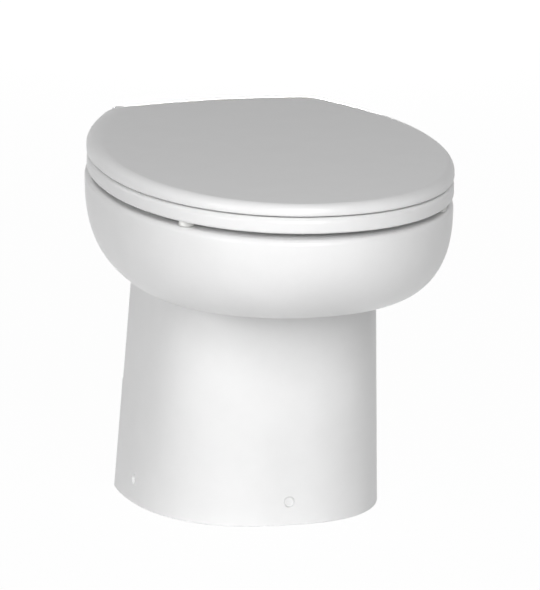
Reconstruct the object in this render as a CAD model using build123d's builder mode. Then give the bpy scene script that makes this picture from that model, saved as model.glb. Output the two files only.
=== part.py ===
from build123d import *
from math import cos, pi, sin, sqrt
import os

os.makedirs("parts", exist_ok=True)

# An electric marine toilet: one glazed casting of bowl and pedestal, a moulded seat and lid on hinge pins,
# and a macerator pump and a rinse valve on a base plate inside the pedestal, which is open at the back.
# Millimetres. The origin is on the floor, at the middle of the width and of the length. +Z is up, the
# front of the bowl faces -Y and the service opening faces +Y.

# Turns and flats
half_turn = 180.0
quarter_turn = 90.0
hexagon = 6

# Cuts and fits
overrun = 2.0
running_clearance = 0.05
loose_clearance = 0.3
seat_gap_left = 0.3

# Heights of the bowl, seat and lid
rim_height = 341.5
seat_gap = 6.4
seat_thickness = 16.4
lid_gap = 1.5
lid_thickness = 22.6
seat_underside = rim_height + seat_gap
seat_top = seat_underside + seat_thickness
lid_underside = seat_top + lid_gap
lid_top = lid_underside + lid_thickness

# Plan of the bowl, measured from its widest line
bowl_width = 357.0
bowl_front_reach = 254.5
bowl_rear_reach = 257.0
bowl_rear_width = 216.0
overall_length = bowl_front_reach + bowl_rear_reach
widest_y = bowl_front_reach - overall_length / 2
front_y = widest_y - bowl_front_reach
rear_y = widest_y + bowl_rear_reach
front_power = 2.12
side_power = 2.25
outline_steps = 6

# Sides of the bowl, from the rim down to the neck
bowl_depth = 103.5
bowl_side_inset = 60.0
bowl_front_inset = 115.0
bowl_rear_inset = 105.5
bowl_side_power = 2.5
bowl_front_power = 2.0
bowl_level_shares = [0.0, 0.22, 0.42, 0.6, 0.75, 0.87, 0.95, 1.0]
rim_round = 6.0
edge_level_shares = [0.0, 0.25, 0.5, 0.75, 1.0]
rear_corner_radius = 14.0
rim_lip_height = 24.0
rim_ledge_side = 47.5
rim_ledge_front = 49.0
rim_ledge_rear = 146.0
rim_opening_half_width = bowl_width / 2 - rim_ledge_side
rim_opening_rear_reach = bowl_rear_reach - rim_ledge_rear

# Pedestal, measured from the bowl's widest line
foot_width = 261.0
foot_front_reach = 75.0
foot_rear_set_back = 115.8
foot_rear_reach = bowl_rear_reach - foot_rear_set_back
foot_middle_reach = 98.0
foot_rear_width = 254.0
neck_width = 225.4
neck_front_reach = 89.4
neck_middle_reach = 24.2
neck_rear_width = 218.0
pedestal_power = 2.45
pedestal_side_power = 2.0
pedestal_corner_radius = 3.0
neck_overlap = 6.0
ceramic_wall = 10.0
rear_step_height = 115.0
rear_step_depth = 5.0
neck_height = rim_height - bowl_depth

# Bowl well, its sump and outlet horn
rim_undercut_side = 12.0
rim_undercut_front = 11.0
rim_undercut_rear = 12.0
well_half_width = rim_opening_half_width + rim_undercut_side
well_front_inset = rim_ledge_front - rim_undercut_front
well_rear_reach = rim_opening_rear_reach + rim_undercut_rear
sump_radius = 30.0
sump_height = 165.0
well_wall = 9.0
well_level_shares = [0.0, 0.2, 0.38, 0.47, 0.55, 0.75, 1.0]
well_width_shares = [1.0, 0.938, 0.726, 0.566, 0.425, 0.195, 0.0]
well_front_shares = [1.0, 0.963, 0.81, 0.64, 0.47, 0.22, 0.0]
horn_radius = 22.5
horn_bore_radius = 18.0
horn_length = 31.0

# Service opening in the back of the casting
service_half_width = 97.0
service_top_drop = 20.0
service_corner_radius = 10.0
service_depth = 41.2
service_front_reach = foot_rear_reach - service_depth

# Seat, which follows the bowl's rim, and the lid, which follows the seat
seat_side_overhang = 0.9
seat_front_set_back = 1.1
seat_rear_set_back = 32.7
seat_rear_overhang = 8.0
lid_side_overhang = 0.6
lid_front_set_back = 1.0
seat_width = bowl_width + 2 * seat_side_overhang
seat_front_reach = bowl_front_reach - seat_front_set_back
lid_width = seat_width + 2 * lid_side_overhang
lid_front_reach = seat_front_reach - lid_front_set_back
lid_rear_reach = bowl_rear_reach - seat_rear_set_back
lid_rear_width = bowl_rear_width + 2 * seat_rear_overhang
lid_rear_crown = 10.0
lid_corner_radius = 26.0
lid_edge_inset = 22.0
lid_edge_height = 14.0
lid_lower_edge_radius = 2.5
lid_wall = 6.0
lid_skin = 5.5
lid_pocket_radius = 8.0
seat_edge_radius = 4.5
seat_lower_edge_radius = 3.0
seat_inner_radius = 7.0
seat_rail_side = 71.4
seat_rail_front = 64.0
seat_rail_rear = 138.3
seat_opening_half_width = seat_width / 2 - seat_rail_side
seat_opening_rear_reach = lid_rear_reach - seat_rail_rear

# Hinge
hinge_spacing = 155.0
hinge_inset = 17.6
hinge_rise = 33.0
knuckle_radius = 6.5
knuckle_width = 14.0
knuckle_side_gap = 0.5
arm_thickness = 9.0
hinge_pin_radius = 3.5
hinge_pin_head_radius = 5.5
hinge_pin_head = 2.0
post_width = 16.0
post_relief = 1.0
post_base_radius = 15.0
post_base_height = 4.0
post_gasket = 1.0
stud_radius = 3.0
stud_grip = 9.0
deck_hole_radius = 5.5
deck_washer = 3.0
deck_washer_radius = 9.0
wing_nut_hub_radius = 6.0
wing_nut_height = 8.0
wing_span = 28.0
wing_width = 3.0
wing_height = 12.0
stud_tail = 4.0
hinge_y = rear_y - hinge_inset
hinge_z = rim_height + hinge_rise
post_x = hinge_spacing / 2

# Bumpers under the seat and under the lid
seat_bumper_length = 17.0
seat_bumper_width = 12.0
seat_bumper_round = 2.5
seat_bumper_front_inset = 45.4
seat_bumper_front_reach_share = 0.6156
seat_bumper_rear_inset = 61.4
seat_bumper_rear_reach_share = 0.5707
seat_bumper_front_x = seat_width / 2 - seat_bumper_front_inset
seat_bumper_front_reach = seat_front_reach * seat_bumper_front_reach_share
seat_bumper_rear_x = seat_width / 2 - seat_bumper_rear_inset
seat_bumper_rear_reach = lid_rear_reach * seat_bumper_rear_reach_share
lid_bumper_radius = 5.5
lid_bumper_front_inset = 75.0
lid_bumper_front_reach_share = 0.6537
lid_bumper_rear_inset = 52.0
lid_bumper_rear_reach_share = 0.4012
lid_bumper_front_x = lid_width / 2 - lid_bumper_front_inset
lid_bumper_front_reach = lid_front_reach * lid_bumper_front_reach_share
lid_bumper_rear_x = lid_width / 2 - lid_bumper_rear_inset
lid_bumper_rear_reach = lid_rear_reach * lid_bumper_rear_reach_share
lid_boss_radius = 7.5

# Side fixings of the pedestal
fixing_height = 25.4
side_fixing_rear_inset = 80.2
side_fixing_reach = foot_rear_reach - side_fixing_rear_inset
cap_radius = 5.6
cap_recess_depth = 5.0
cap_recess_clearance = 0.2
cap_disc = 2.2
cap_set_back = 0.6
side_screw_radius = 2.4
side_screw_head_radius = 4.4
side_screw_head = 2.0
side_screw_length = 16.0
side_screw_hole_radius = 2.9

# Base plate, resting on the floor inside the pedestal
base_thickness = 5.0
base_clearance = 1.0
base_rear_gap = 9.2
base_rear_reach = foot_rear_reach - base_rear_gap
lug_width = 20.0
lug_thickness = 10.0
lug_height = 36.0
lug_round = 6.0
lug_gap = 2.5
floor_hole_radius = 4.25
floor_hole_spacing_x = 124.0
floor_hole_spacing_y = 72.0
floor_hole_rear_inset = 68.0
floor_hole_middle_reach = base_rear_reach - floor_hole_rear_inset
floor_hole_pad_radius = 11.0
floor_hole_pad = 2.0
floor_hole_cut = 20.0

# Pump, on an axis along Y above the base plate, measured forward from its rear cover
pump_axis_height = 64.0
pump_rear_gap = 11.2
pump_rear_reach = foot_rear_reach - pump_rear_gap
cover_thickness = 6.0
macerator_length = 46.0
chopper_plate_thickness = 3.0
volute_length = 36.0
seal_plate_thickness = 8.0
motor_flange_thickness = 5.0
motor_length = 70.0
motor_cap_length = 8.0
pump_flange_radius = 46.5
pump_flange_thickness = 6.0
pump_body_radius = 42.5
pump_bore_radius = 37.0
bolt_circle_radius = 51.0
bolt_count = 4
bolt_angle = 45.0
bolt_ear_radius = 8.5
bolt_radius = 2.4
bolt_head_radius = 4.5
bolt_head = 3.5
bolt_nut_radius = 4.6
bolt_nut = 4.0
bolt_tail = 2.0
cover_dome_radius = 30.0
cover_dome_height = 5.0
cover_rib_width = 3.0
cover_rib_round = 1.0
cover_seal_radius = 41.0
cover_seal_section = 1.6
inlet_radius = 22.5
inlet_bore_radius = 18.0
inlet_rise = 57.0
foot_plate_half_width = 60.0
foot_plate_thickness = 6.0
foot_plate_depth = 34.0
foot_web_half_width = 32.0
foot_web_depth = 20.0
foot_hole_spacing_x = 100.0
foot_hole_spacing_y = 18.0
grommet_radius = 8.0
grommet_height = 7.0
foot_screw_radius = 2.4
foot_screw_head_radius = 5.0
foot_screw_head = 3.0
foot_screw_grip = 4.0

# Rotating parts
shaft_radius = 4.0
shaft_seal_radius = 9.0
shaft_seal_length = 6.0
shaft_hole_radius = 5.0
impeller_radius = 35.0
impeller_disc = 3.0
impeller_hub_radius = 9.0
impeller_width = 26.0
impeller_face_gap = 3.0
vane_thickness = 3.5
vane_count = 5
vane_radius = 22.0
vane_start_angle = 80.0
vane_angle = 78.0
chopper_hole_radius = 5.5
chopper_hole_ring_radius = 20.0
chopper_hole_count = 8
chopper_bore_radius = 6.0
blade_gap = 0.8
blade_thickness = 3.0
blade_length = 66.0
blade_width = 14.0
blade_hub_radius = 9.0
blade_nut_radius = 7.0
blade_nut_height = 6.0
shaft_tail = 2.0
motor_radius = 38.0
motor_wall = 2.5
magnet_thickness = 7.0
magnet_length = 46.0
magnet_angle = 140.0
air_gap = 1.0
core_length = 40.0
core_slots = 8
core_slot_width = 3.0
core_slot_depth = 9.0
core_middle_share = 0.42
commutator_radius = 10.0
commutator_length = 13.0
commutator_gap = 4.0
brush_width = 5.0
brush_thickness = 7.0
brush_length = 14.0
brush_holder_wall = 2.0
brush_stand_out = 1.7
bush_radius = 8.0
bush_length = 8.0
bush_boss_radius = 12.0
bush_boss = 4.0
motor_bolt_circle_radius = 33.0
motor_bolt_radius = 1.6
motor_bolt_count = 2
motor_bolt_head_radius = 3.2
motor_bolt_head = 2.0
gland_radius = 7.5
gland_flats_radius = 9.0
gland_flats = 6.0
gland_length = 14.0
gland_bore_radius = 4.0

# Outlet boot between the casting's horn and the pump's inlet
boot_wall = 4.0
boot_horn_lap = 26.0
boot_inlet_lap = 10.0
boot_rib = 2.0
boot_rib_width = 4.0
boot_rib_count = 3
clamp_width = 8.0
clamp_thickness = 0.9
clamp_screw_length = 14.0
clamp_screw_width = 7.0
clamp_inset = 1.0

# Discharge side
discharge_radius = 17.0
discharge_bore_radius = 13.5
discharge_flange_radius = 24.5
discharge_flange_thickness = 4.0
discharge_face_x = 62.0
elbow_bend_radius = 20.0
elbow_rear_gap = 29.2
elbow_rear_reach = foot_rear_reach - elbow_rear_gap
joker_flange = 2.5
joker_radius = 12.0
joker_length = 22.0
joker_wall = 2.5
joker_slit = 1.2
joker_tip_width = 5.0
spigot_radius = 19.0
spigot_length = 40.0
spigot_collar_radius = 22.0
spigot_collar = 3.0
spigot_bore_radius = 15.0
spigot_stand_out = 45.8
spigot_rear_reach = foot_rear_reach + spigot_stand_out
union_screw_radius = 1.7
union_screw_circle_radius = 21.2
union_screw_head_radius = 2.8
union_screw_head = 2.0
union_screw_tail = 1.0
union_screw_count = 4
union_angle = 45.0

# Rinse valve on its bracket
valve_x = -79.0
valve_rear_gap = 18.2
valve_reach = foot_rear_reach - valve_rear_gap
valve_bottom = 108.0
valve_width = 38.0
valve_depth = 34.0
valve_tall = 42.0
valve_corner = 4.0
valve_inlet_rise = 10.0
valve_outlet_rise = 34.0
valve_inlet_radius = 9.5
valve_inlet_bore_radius = 6.0
valve_inlet_length = 36.0
valve_outlet_radius = 6.5
valve_outlet_bore_radius = 4.5
valve_outlet_length = 20.0
valve_chamber_radius = 11.0
valve_chamber_depth = 14.0
valve_nozzle_radius = 3.0
guide_radius = 7.0
guide_wall = 0.8
guide_length = 44.0
guide_flange_radius = 14.0
guide_flange = 3.0
coil_width = 34.0
coil_length = 34.0
coil_gap = 0.5
coil_corner = 5.0
coil_nut_radius = 11.0
coil_nut_height = 4.0
plunger_length = 30.0
plunger_tip_radius = 4.5
plunger_tip = 3.0
spring_radius = 4.4
spring_wire_radius = 0.45
spring_turns = 6
spring_pocket = 4.0
terminal_width = 6.3
terminal_thickness = 0.8
terminal_length = 9.0
terminal_spacing = 10.0
bracket_thickness = 2.5
bracket_width = 30.0
bracket_foot = 22.0
bracket_foot_screw_reach = 14.7
bracket_screw_radius = 2.0
bracket_screw_head_radius = 3.8
bracket_screw_head = 2.2
bracket_screw_spacing = 18.0
bracket_screw_grip = 7.0

# Rinse hose from the valve to the spud behind the bowl's rim
hose_bore_radius = 6.6
hose_wall = 3.0
hose_lap = 16.0
hose_bend_radius = 24.0
spud_height = 293.0
spud_radius = 6.5
spud_bore_radius = 4.5
spud_hole_radius = 10.0
spud_flange_radius = 14.0
spud_flange = 2.5
spud_gasket_flange = 2.5
spud_length = 47.0
spud_reach = well_rear_reach + spud_length
hose_loop_stand_out = 34.0
hose_loop_reach = spud_reach + hose_loop_stand_out
spud_inner_reach = 2.0
hose_clamp_width = 7.0


def bowl_profile(share, power):
    """How far the bowl's side has drawn in at a share of its depth, from 0 at the rim to 1 at the neck"""
    return 1 - sqrt(1 - share**power)


def plan_face(height, half_width, front, middle, rear, rear_half_width, powers, corner, crown=0):
    """A plan outline: a squared oval ahead of the widest line, tapering sides behind it and a rear edge"""
    oval_power, taper_power = powers
    angles = [step * pi / 2 / outline_steps for step in range(outline_steps + 1)]
    shares = [step / outline_steps for step in range(outline_steps + 1)]
    taper = half_width - rear_half_width
    oval = [
        (half_width * sin(a) ** (2 / oval_power), middle - (middle - front) * cos(a) ** (2 / oval_power))
        for a in angles
    ]
    side = [(half_width - taper * s**taper_power, middle + (rear - middle) * s) for s in shares]
    with BuildSketch(Plane.XY.offset(height)) as face:
        with BuildLine():
            Spline(*oval, tangents=[(1, 0), (0, 1)])
            Spline(*side, tangents=[(0, 1), (-taper * taper_power, rear - middle)])
            mirror(about=Plane.YZ)
            if crown:
                ThreePointArc((rear_half_width, rear), (0, rear + crown), (-rear_half_width, rear))
            else:
                Line((rear_half_width, rear), (-rear_half_width, rear))
        make_face()
        fillet(face.vertices().group_by(Axis.Y)[-1], radius=corner)
    return face.sketch


def egg_face(height, half_width, front, middle, rear):
    """An egg-shaped plan outline of two half ellipses that meet on its widest line"""
    with BuildSketch(Plane.XY.offset(height)) as face:
        with BuildLine():
            EllipticalCenterArc((0, middle), half_width, middle - front, half_turn, arc_size=half_turn)
            EllipticalCenterArc((0, middle), half_width, rear - middle, 0, arc_size=half_turn)
        make_face()
    return face.sketch


def bowl_face(share):
    """The bowl's outer outline at a share of the way from its rounded rim down to the neck"""
    side = bowl_profile(share, bowl_side_power)
    front = bowl_profile(share, bowl_front_power)
    return plan_face(
        rim_height - rim_round - share * (bowl_depth - rim_round),
        bowl_width / 2 - side * bowl_side_inset,
        front_y + front * bowl_front_inset,
        widest_y,
        rear_y - side * bowl_rear_inset,
        bowl_rear_width / 2,
        (front_power, side_power),
        rear_corner_radius,
    )


def edge_round(share, inset, height):
    """Inset and height on a quarter-round edge, from 0 at its flat face to 1 where the side begins"""
    return inset * (1 - sin(share * pi / 2)), height * (1 - cos(share * pi / 2))


def rim_face(share):
    """The bowl's outline on its rounded rim, from 0 at the top to 1 where the side begins"""
    inset, drop = edge_round(share, rim_round, rim_round)
    return plan_face(
        rim_height - drop,
        bowl_width / 2 - inset,
        front_y + inset,
        widest_y,
        rear_y - inset,
        bowl_rear_width / 2 - inset,
        (front_power, side_power),
        rear_corner_radius - inset,
    )


def pedestal_face(share, height, inset=0, rear_extra=0):
    """The pedestal's outline, from 0 at the floor to 1 at the neck"""

    def between(foot, neck):
        return foot + (neck - foot) * share

    rear = widest_y + foot_rear_reach + rear_extra
    return plan_face(
        height,
        between(foot_width, neck_width) / 2 - inset,
        widest_y - between(foot_front_reach, neck_front_reach) + inset,
        widest_y + between(foot_middle_reach, neck_middle_reach),
        rear,
        between(foot_rear_width, neck_rear_width) / 2 - inset,
        (pedestal_power, pedestal_side_power),
        pedestal_corner_radius,
    )


# Places that several pieces share
pump_rear_y = widest_y + pump_rear_reach
macerator_y = pump_rear_y - cover_thickness
chopper_y = macerator_y - macerator_length
volute_y = chopper_y - chopper_plate_thickness
seal_plate_y = volute_y - volute_length
motor_flange_y = seal_plate_y - seal_plate_thickness
motor_y = motor_flange_y - motor_flange_thickness
motor_cap_y = motor_y - motor_length
inlet_y = macerator_y - macerator_length / 2
inlet_top = pump_axis_height + inlet_rise
discharge_y = volute_y - volute_length / 2
horn_bottom = sump_height - well_wall - horn_length
well_top = rim_height - rim_lip_height
boot_bottom = inlet_top - boot_inlet_lap
boot_top = horn_bottom + boot_horn_lap
discharge_x = discharge_face_x + discharge_flange_thickness + elbow_bend_radius
elbow_rear_y = widest_y + elbow_rear_reach
core_y = motor_y - core_middle_share * motor_length + core_length / 2
commutator_y = core_y - core_length - commutator_gap
blade_y = chopper_y + blade_gap + blade_thickness
valve_rear_y = widest_y + valve_reach + valve_depth / 2
valve_top = valve_bottom + valve_tall
guide_top = valve_top + guide_flange + guide_length
opening_front_y = front_y + rim_ledge_front
opening_rear_y = widest_y + rim_opening_rear_reach
deck_underside = rim_height - service_top_drop
side_fixing_y = widest_y + side_fixing_reach
spud_y = widest_y + spud_reach


def well_face(level, inset=0):
    """One level of the bowl's well, or of the wall round it with a negative inset"""
    share = well_level_shares[level]
    front_top = front_y + well_front_inset
    front_sump = inlet_y - sump_radius
    rear_top = widest_y + well_rear_reach
    rear_sump = inlet_y + sump_radius
    front = front_sump + (front_top - front_sump) * well_front_shares[level] + inset
    rear = rear_top + (rear_sump - rear_top) * share - inset
    return egg_face(
        well_top - share * (well_top - sump_height),
        sump_radius + (well_half_width - sump_radius) * well_width_shares[level] - inset,
        front,
        (front + rear) / 2,
        rear,
    )


def well_rear_y(height):
    """The rear of the bowl's well on its centre line"""
    share = (well_top - height) / (well_top - sump_height)
    rear_top = widest_y + well_rear_reach
    return rear_top + (inlet_y + sump_radius - rear_top) * share


def pedestal_half_width(height, y):
    """The pedestal's outer half width at a height and a place along Y, ahead of its widest line"""
    share = height / (neck_height + neck_overlap)
    half_width = (foot_width + (neck_width - foot_width) * share) / 2
    middle = foot_middle_reach + (neck_middle_reach - foot_middle_reach) * share
    front = foot_front_reach + (neck_front_reach - foot_front_reach) * share
    across = (widest_y + middle - y) / (middle + front)
    return half_width * (1 - across**pedestal_power) ** (1 / pedestal_power)


def pedestal_front_y(height):
    """The pedestal's front face on its centre line"""
    share = height / (neck_height + neck_overlap)
    return widest_y - foot_front_reach - (neck_front_reach - foot_front_reach) * share


side_fixing_x = pedestal_half_width(fixing_height, side_fixing_y)
fixing_planes = [
    Plane((0, pedestal_front_y(fixing_height), fixing_height), x_dir=(1, 0, 0), z_dir=(0, -1, 0)),
    Plane((side_fixing_x, side_fixing_y, fixing_height), x_dir=(0, 1, 0), z_dir=(1, 0, 0)),
    Plane((-side_fixing_x, side_fixing_y, fixing_height), x_dir=(0, -1, 0), z_dir=(-1, 0, 0)),
]


# Bowl and pedestal: one slip-cast vitreous china piece, glazed white all over. The well drains through a
# horn into the pump, and the pedestal is hollow and open at the floor and at the back.
with BuildPart() as well:
    loft([well_face(level) for level in range(len(well_level_shares))])
    with BuildSketch(Plane.XY.offset(sump_height + overrun)):
        with Locations((0, inlet_y)):
            Circle(horn_bore_radius)
    extrude(amount=horn_bottom - sump_height - 2 * overrun)
    opening = egg_face(
        well_top - overrun, rim_opening_half_width, opening_front_y, widest_y, opening_rear_y
    )
    extrude(opening, amount=rim_lip_height + 2 * overrun)

with BuildPart() as well_shell:
    loft([well_face(level, -well_wall) for level in range(len(well_level_shares))])
    with BuildSketch(Plane.XY.offset(sump_height)):
        with Locations((0, inlet_y)):
            Circle(sump_radius + well_wall)
    extrude(amount=-well_wall)
    with BuildSketch(Plane.XY.offset(sump_height)):
        with Locations((0, inlet_y)):
            Circle(horn_radius)
    extrude(amount=horn_bottom - sump_height)

with BuildPart() as hollow:
    loft(
        [
            pedestal_face(0, -overrun, ceramic_wall, ceramic_wall),
            pedestal_face(1, neck_height - ceramic_wall, ceramic_wall, ceramic_wall),
        ]
    )
    with BuildSketch(Plane.XZ.offset(-widest_y - service_front_reach)):
        with Locations((0, deck_underside / 2 - overrun)):
            RectangleRounded(2 * service_half_width, deck_underside + 2 * overrun, service_corner_radius)
    extrude(amount=-bowl_rear_reach)
    add(well_shell.part, mode=Mode.SUBTRACT)

with BuildPart() as bowl_pedestal:
    loft([bowl_face(share) for share in bowl_level_shares])
    loft([rim_face(share) for share in edge_level_shares])
    loft([pedestal_face(0, 0), pedestal_face(1, neck_height + neck_overlap)])
    with BuildSketch(Plane.XY.offset(rear_step_height)):
        with Locations((0, widest_y + foot_rear_reach)):
            Rectangle(foot_width, 2 * rear_step_depth)
    extrude(amount=neck_height - rear_step_height, mode=Mode.SUBTRACT)
    add(well_shell.part)
    add(hollow.part, mode=Mode.SUBTRACT)
    add(well.part, mode=Mode.SUBTRACT)
    with Locations(*[(side * post_x, hinge_y, rim_height) for side in (-1, 1)]):
        Hole(deck_hole_radius, depth=service_top_drop + overrun)
    with Locations(Plane((0, spud_y, spud_height), x_dir=(1, 0, 0), z_dir=(0, 1, 0))):
        Hole(spud_hole_radius, depth=spud_y - well_rear_y(spud_height) + ceramic_wall)
    for plane in fixing_planes:
        with Locations(plane):
            CounterBoreHole(
                side_screw_hole_radius,
                cap_radius + cap_recess_clearance,
                cap_recess_depth,
                depth=ceramic_wall + lug_gap,
            )
bowl_pedestal.part.label = "bowl_pedestal"
export_step(bowl_pedestal.part, "parts/bowl_pedestal.step")


# Seat: a solid moulded ring that lies on four bumpers, with two arms that reach back and up to the pins
def seat_outline(height, width, front_reach, inset=0):
    """The outline that the seat and the lid share, with its slightly bowed rear edge"""
    return plan_face(
        height,
        width / 2 - inset,
        widest_y - front_reach + inset,
        widest_y,
        widest_y + lid_rear_reach - inset,
        lid_rear_width / 2 - inset,
        (front_power, side_power),
        lid_corner_radius - inset,
        lid_rear_crown,
    )


def edge_faces(flat_z, up, inset, height, width, front_reach):
    """Outlines on a rounded edge of the seat or lid, from its flat face to where the side begins"""
    edge = [edge_round(share, inset, height) for share in edge_level_shares]
    return [seat_outline(flat_z + up * rise, width, front_reach, inward) for inward, rise in edge]


def both_sides(x):
    """A place on the right and its mirror on the left"""
    return (x, -x)


seat_arm_x = post_x + (post_width + knuckle_width) / 2 + knuckle_side_gap
lid_arm_x = post_x - (post_width + knuckle_width) / 2 - knuckle_side_gap
arm_front_y = widest_y + lid_rear_reach - lid_wall

with BuildPart() as seat:
    low, high = seat_lower_edge_radius, seat_edge_radius
    loft(edge_faces(seat_underside, 1, low, low, seat_width, seat_front_reach))
    loft(edge_faces(seat_top, -1, high, high, seat_width, seat_front_reach))
    extrude(
        seat_outline(seat_underside + seat_lower_edge_radius, seat_width, seat_front_reach),
        amount=seat_thickness - seat_lower_edge_radius - seat_edge_radius,
    )
    hole = egg_face(
        seat_underside,
        seat_opening_half_width,
        widest_y - seat_front_reach + seat_rail_front,
        widest_y,
        widest_y + seat_opening_rear_reach,
    )
    extrude(hole, amount=seat_thickness, mode=Mode.SUBTRACT)
    inner_edges = seat.faces().sort_by(Axis.Z)[-1].inner_wires()[0].edges()
    fillet(inner_edges, radius=seat_inner_radius)
    for x in both_sides(seat_arm_x):
        with BuildSketch(Plane.YZ.offset(x - knuckle_width / 2)):
            with Locations((hinge_y, hinge_z)):
                Circle(knuckle_radius)
            arm_height = hinge_z - seat_underside - seat_lower_edge_radius
            with Locations((hinge_y, hinge_z)):
                Rectangle(2 * knuckle_radius, arm_height, align=(Align.CENTER, Align.MAX))
            with Locations((hinge_y + knuckle_radius, seat_underside + seat_lower_edge_radius)):
                Rectangle(
                    hinge_y + knuckle_radius - arm_front_y, arm_thickness, align=(Align.MAX, Align.MIN)
                )
        extrude(amount=knuckle_width)
    with Locations(Plane((0, hinge_y, hinge_z), x_dir=(0, 1, 0), z_dir=(1, 0, 0))):
        Cylinder(hinge_pin_radius + running_clearance, seat_width, mode=Mode.SUBTRACT)
seat.part.label = "seat"
export_step(seat.part, "parts/seat.step")

# Lid: a moulded shell with a gently crowned top and a deep rounded edge, hollow underneath
with BuildPart() as lid_pocket:
    extrude(seat_outline(lid_underside, lid_width, lid_front_reach, lid_wall), amount=lid_thickness - lid_skin)
    fillet(lid_pocket.faces().sort_by(Axis.Z)[-1].edges(), radius=lid_pocket_radius)

with BuildPart() as lid:
    low = lid_lower_edge_radius
    loft(edge_faces(lid_underside, 1, low, low, lid_width, lid_front_reach))
    loft(edge_faces(lid_top, -1, lid_edge_inset, lid_edge_height, lid_width, lid_front_reach))
    extrude(
        seat_outline(lid_underside + lid_lower_edge_radius, lid_width, lid_front_reach),
        amount=lid_thickness - lid_lower_edge_radius - lid_edge_height,
    )
    add(lid_pocket.part, mode=Mode.SUBTRACT)
    for x in both_sides(lid_arm_x):
        with BuildSketch(Plane.YZ.offset(x - knuckle_width / 2)):
            with Locations((hinge_y, hinge_z)):
                Circle(knuckle_radius)
                Rectangle(
                    hinge_y - arm_front_y, 2 * knuckle_radius, align=(Align.MAX, Align.CENTER)
                )
        extrude(amount=knuckle_width)
    with BuildSketch(Plane.XY.offset(lid_underside)):
        for x in both_sides(lid_bumper_front_x):
            with Locations((x, widest_y - lid_bumper_front_reach)):
                Circle(lid_boss_radius)
        for x in both_sides(lid_bumper_rear_x):
            with Locations((x, widest_y + lid_bumper_rear_reach)):
                Circle(lid_boss_radius)
    extrude(amount=lid_thickness - lid_skin)
    with Locations(Plane((0, hinge_y, hinge_z), x_dir=(0, 1, 0), z_dir=(1, 0, 0))):
        Cylinder(hinge_pin_radius + running_clearance, lid_width, mode=Mode.SUBTRACT)
lid.part.label = "lid"
export_step(lid.part, "parts/lid.step")

# Rubber bumpers: four under the seat, which bear on the rim, and four thin ones under the lid
with BuildPart() as seat_bumpers:
    with BuildSketch(Plane.XY.offset(seat_underside)):
        for x in both_sides(seat_bumper_front_x):
            with Locations((x, widest_y - seat_bumper_front_reach)):
                SlotOverall(seat_bumper_length, seat_bumper_width)
        for x in both_sides(seat_bumper_rear_x):
            with Locations((x, widest_y + seat_bumper_rear_reach)):
                SlotOverall(seat_bumper_length, seat_bumper_width)
    extrude(amount=-(seat_gap - seat_gap_left))
    fillet(seat_bumpers.faces().group_by(Axis.Z)[0].edges(), radius=seat_bumper_round)
seat_bumpers.part.label = "seat_bumpers"
export_step(seat_bumpers.part, "parts/seat_bumpers.step")

with BuildPart() as lid_bumpers:
    with BuildSketch(Plane.XY.offset(lid_underside)):
        for x in both_sides(lid_bumper_front_x):
            with Locations((x, widest_y - lid_bumper_front_reach)):
                Circle(lid_bumper_radius)
        for x in both_sides(lid_bumper_rear_x):
            with Locations((x, widest_y + lid_bumper_rear_reach)):
                Circle(lid_bumper_radius)
    extrude(amount=-(lid_gap - seat_gap_left))
lid_bumpers.part.label = "lid_bumpers"
export_step(lid_bumpers.part, "parts/lid_bumpers.step")

# Hinge: two posts on rubber gaskets, each held to the rim deck by a stud, a washer and a wing nut, and each
# carrying a pin on which the seat and the lid turn
post_foot_z = rim_height + post_gasket
post_top_z = post_foot_z + post_base_height
stud_top_z = post_foot_z + stud_grip
washer_z = deck_underside - deck_washer
stud_bottom_z = washer_z - wing_nut_height - stud_tail

with BuildPart() as hinge_posts:
    for x in both_sides(post_x):
        with BuildSketch(Plane.XY.offset(post_foot_z)):
            with Locations((x, hinge_y)):
                Circle(post_base_radius)
        extrude(amount=post_base_height)
        with BuildSketch(Plane.YZ.offset(x - post_width / 2)):
            with Locations((hinge_y, hinge_z)):
                Circle(knuckle_radius)
                Rectangle(
                    2 * knuckle_radius - post_relief, hinge_z - post_foot_z, align=(Align.CENTER, Align.MAX)
                )
        extrude(amount=post_width)
        with Locations((x, hinge_y, post_foot_z)):
            Cylinder(
                stud_radius + running_clearance,
                stud_grip + loose_clearance,
                align=(Align.CENTER, Align.CENTER, Align.MIN),
                mode=Mode.SUBTRACT,
            )
    with Locations(Plane((0, hinge_y, hinge_z), x_dir=(0, 1, 0), z_dir=(1, 0, 0))):
        Cylinder(hinge_pin_radius + running_clearance, seat_width, mode=Mode.SUBTRACT)
hinge_posts.part.label = "hinge_posts"
export_step(hinge_posts.part, "parts/hinge_posts.step")

pin_inner_x = lid_arm_x - knuckle_width / 2 - hinge_pin_head
pin_outer_x = seat_arm_x + knuckle_width / 2 + loose_clearance
with BuildPart() as hinge_pins:
    for side in (-1, 1):
        across = Plane((side * pin_inner_x, hinge_y, hinge_z), x_dir=(0, 1, 0), z_dir=(side, 0, 0))
        with BuildSketch(across):
            Circle(hinge_pin_radius)
        extrude(amount=pin_outer_x + hinge_pin_head - pin_inner_x)
        with BuildSketch(across.offset(pin_outer_x - pin_inner_x)):
            Circle(hinge_pin_head_radius)
        extrude(amount=hinge_pin_head)
hinge_pins.part.label = "hinge_pins"
export_step(hinge_pins.part, "parts/hinge_pins.step")

with BuildPart() as hinge_gaskets:
    with BuildSketch(Plane.XY.offset(rim_height)):
        for x in both_sides(post_x):
            with Locations((x, hinge_y)):
                Circle(post_base_radius)
                Circle(stud_radius + running_clearance, mode=Mode.SUBTRACT)
    extrude(amount=post_gasket)
hinge_gaskets.part.label = "hinge_gaskets"
export_step(hinge_gaskets.part, "parts/hinge_gaskets.step")

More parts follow.
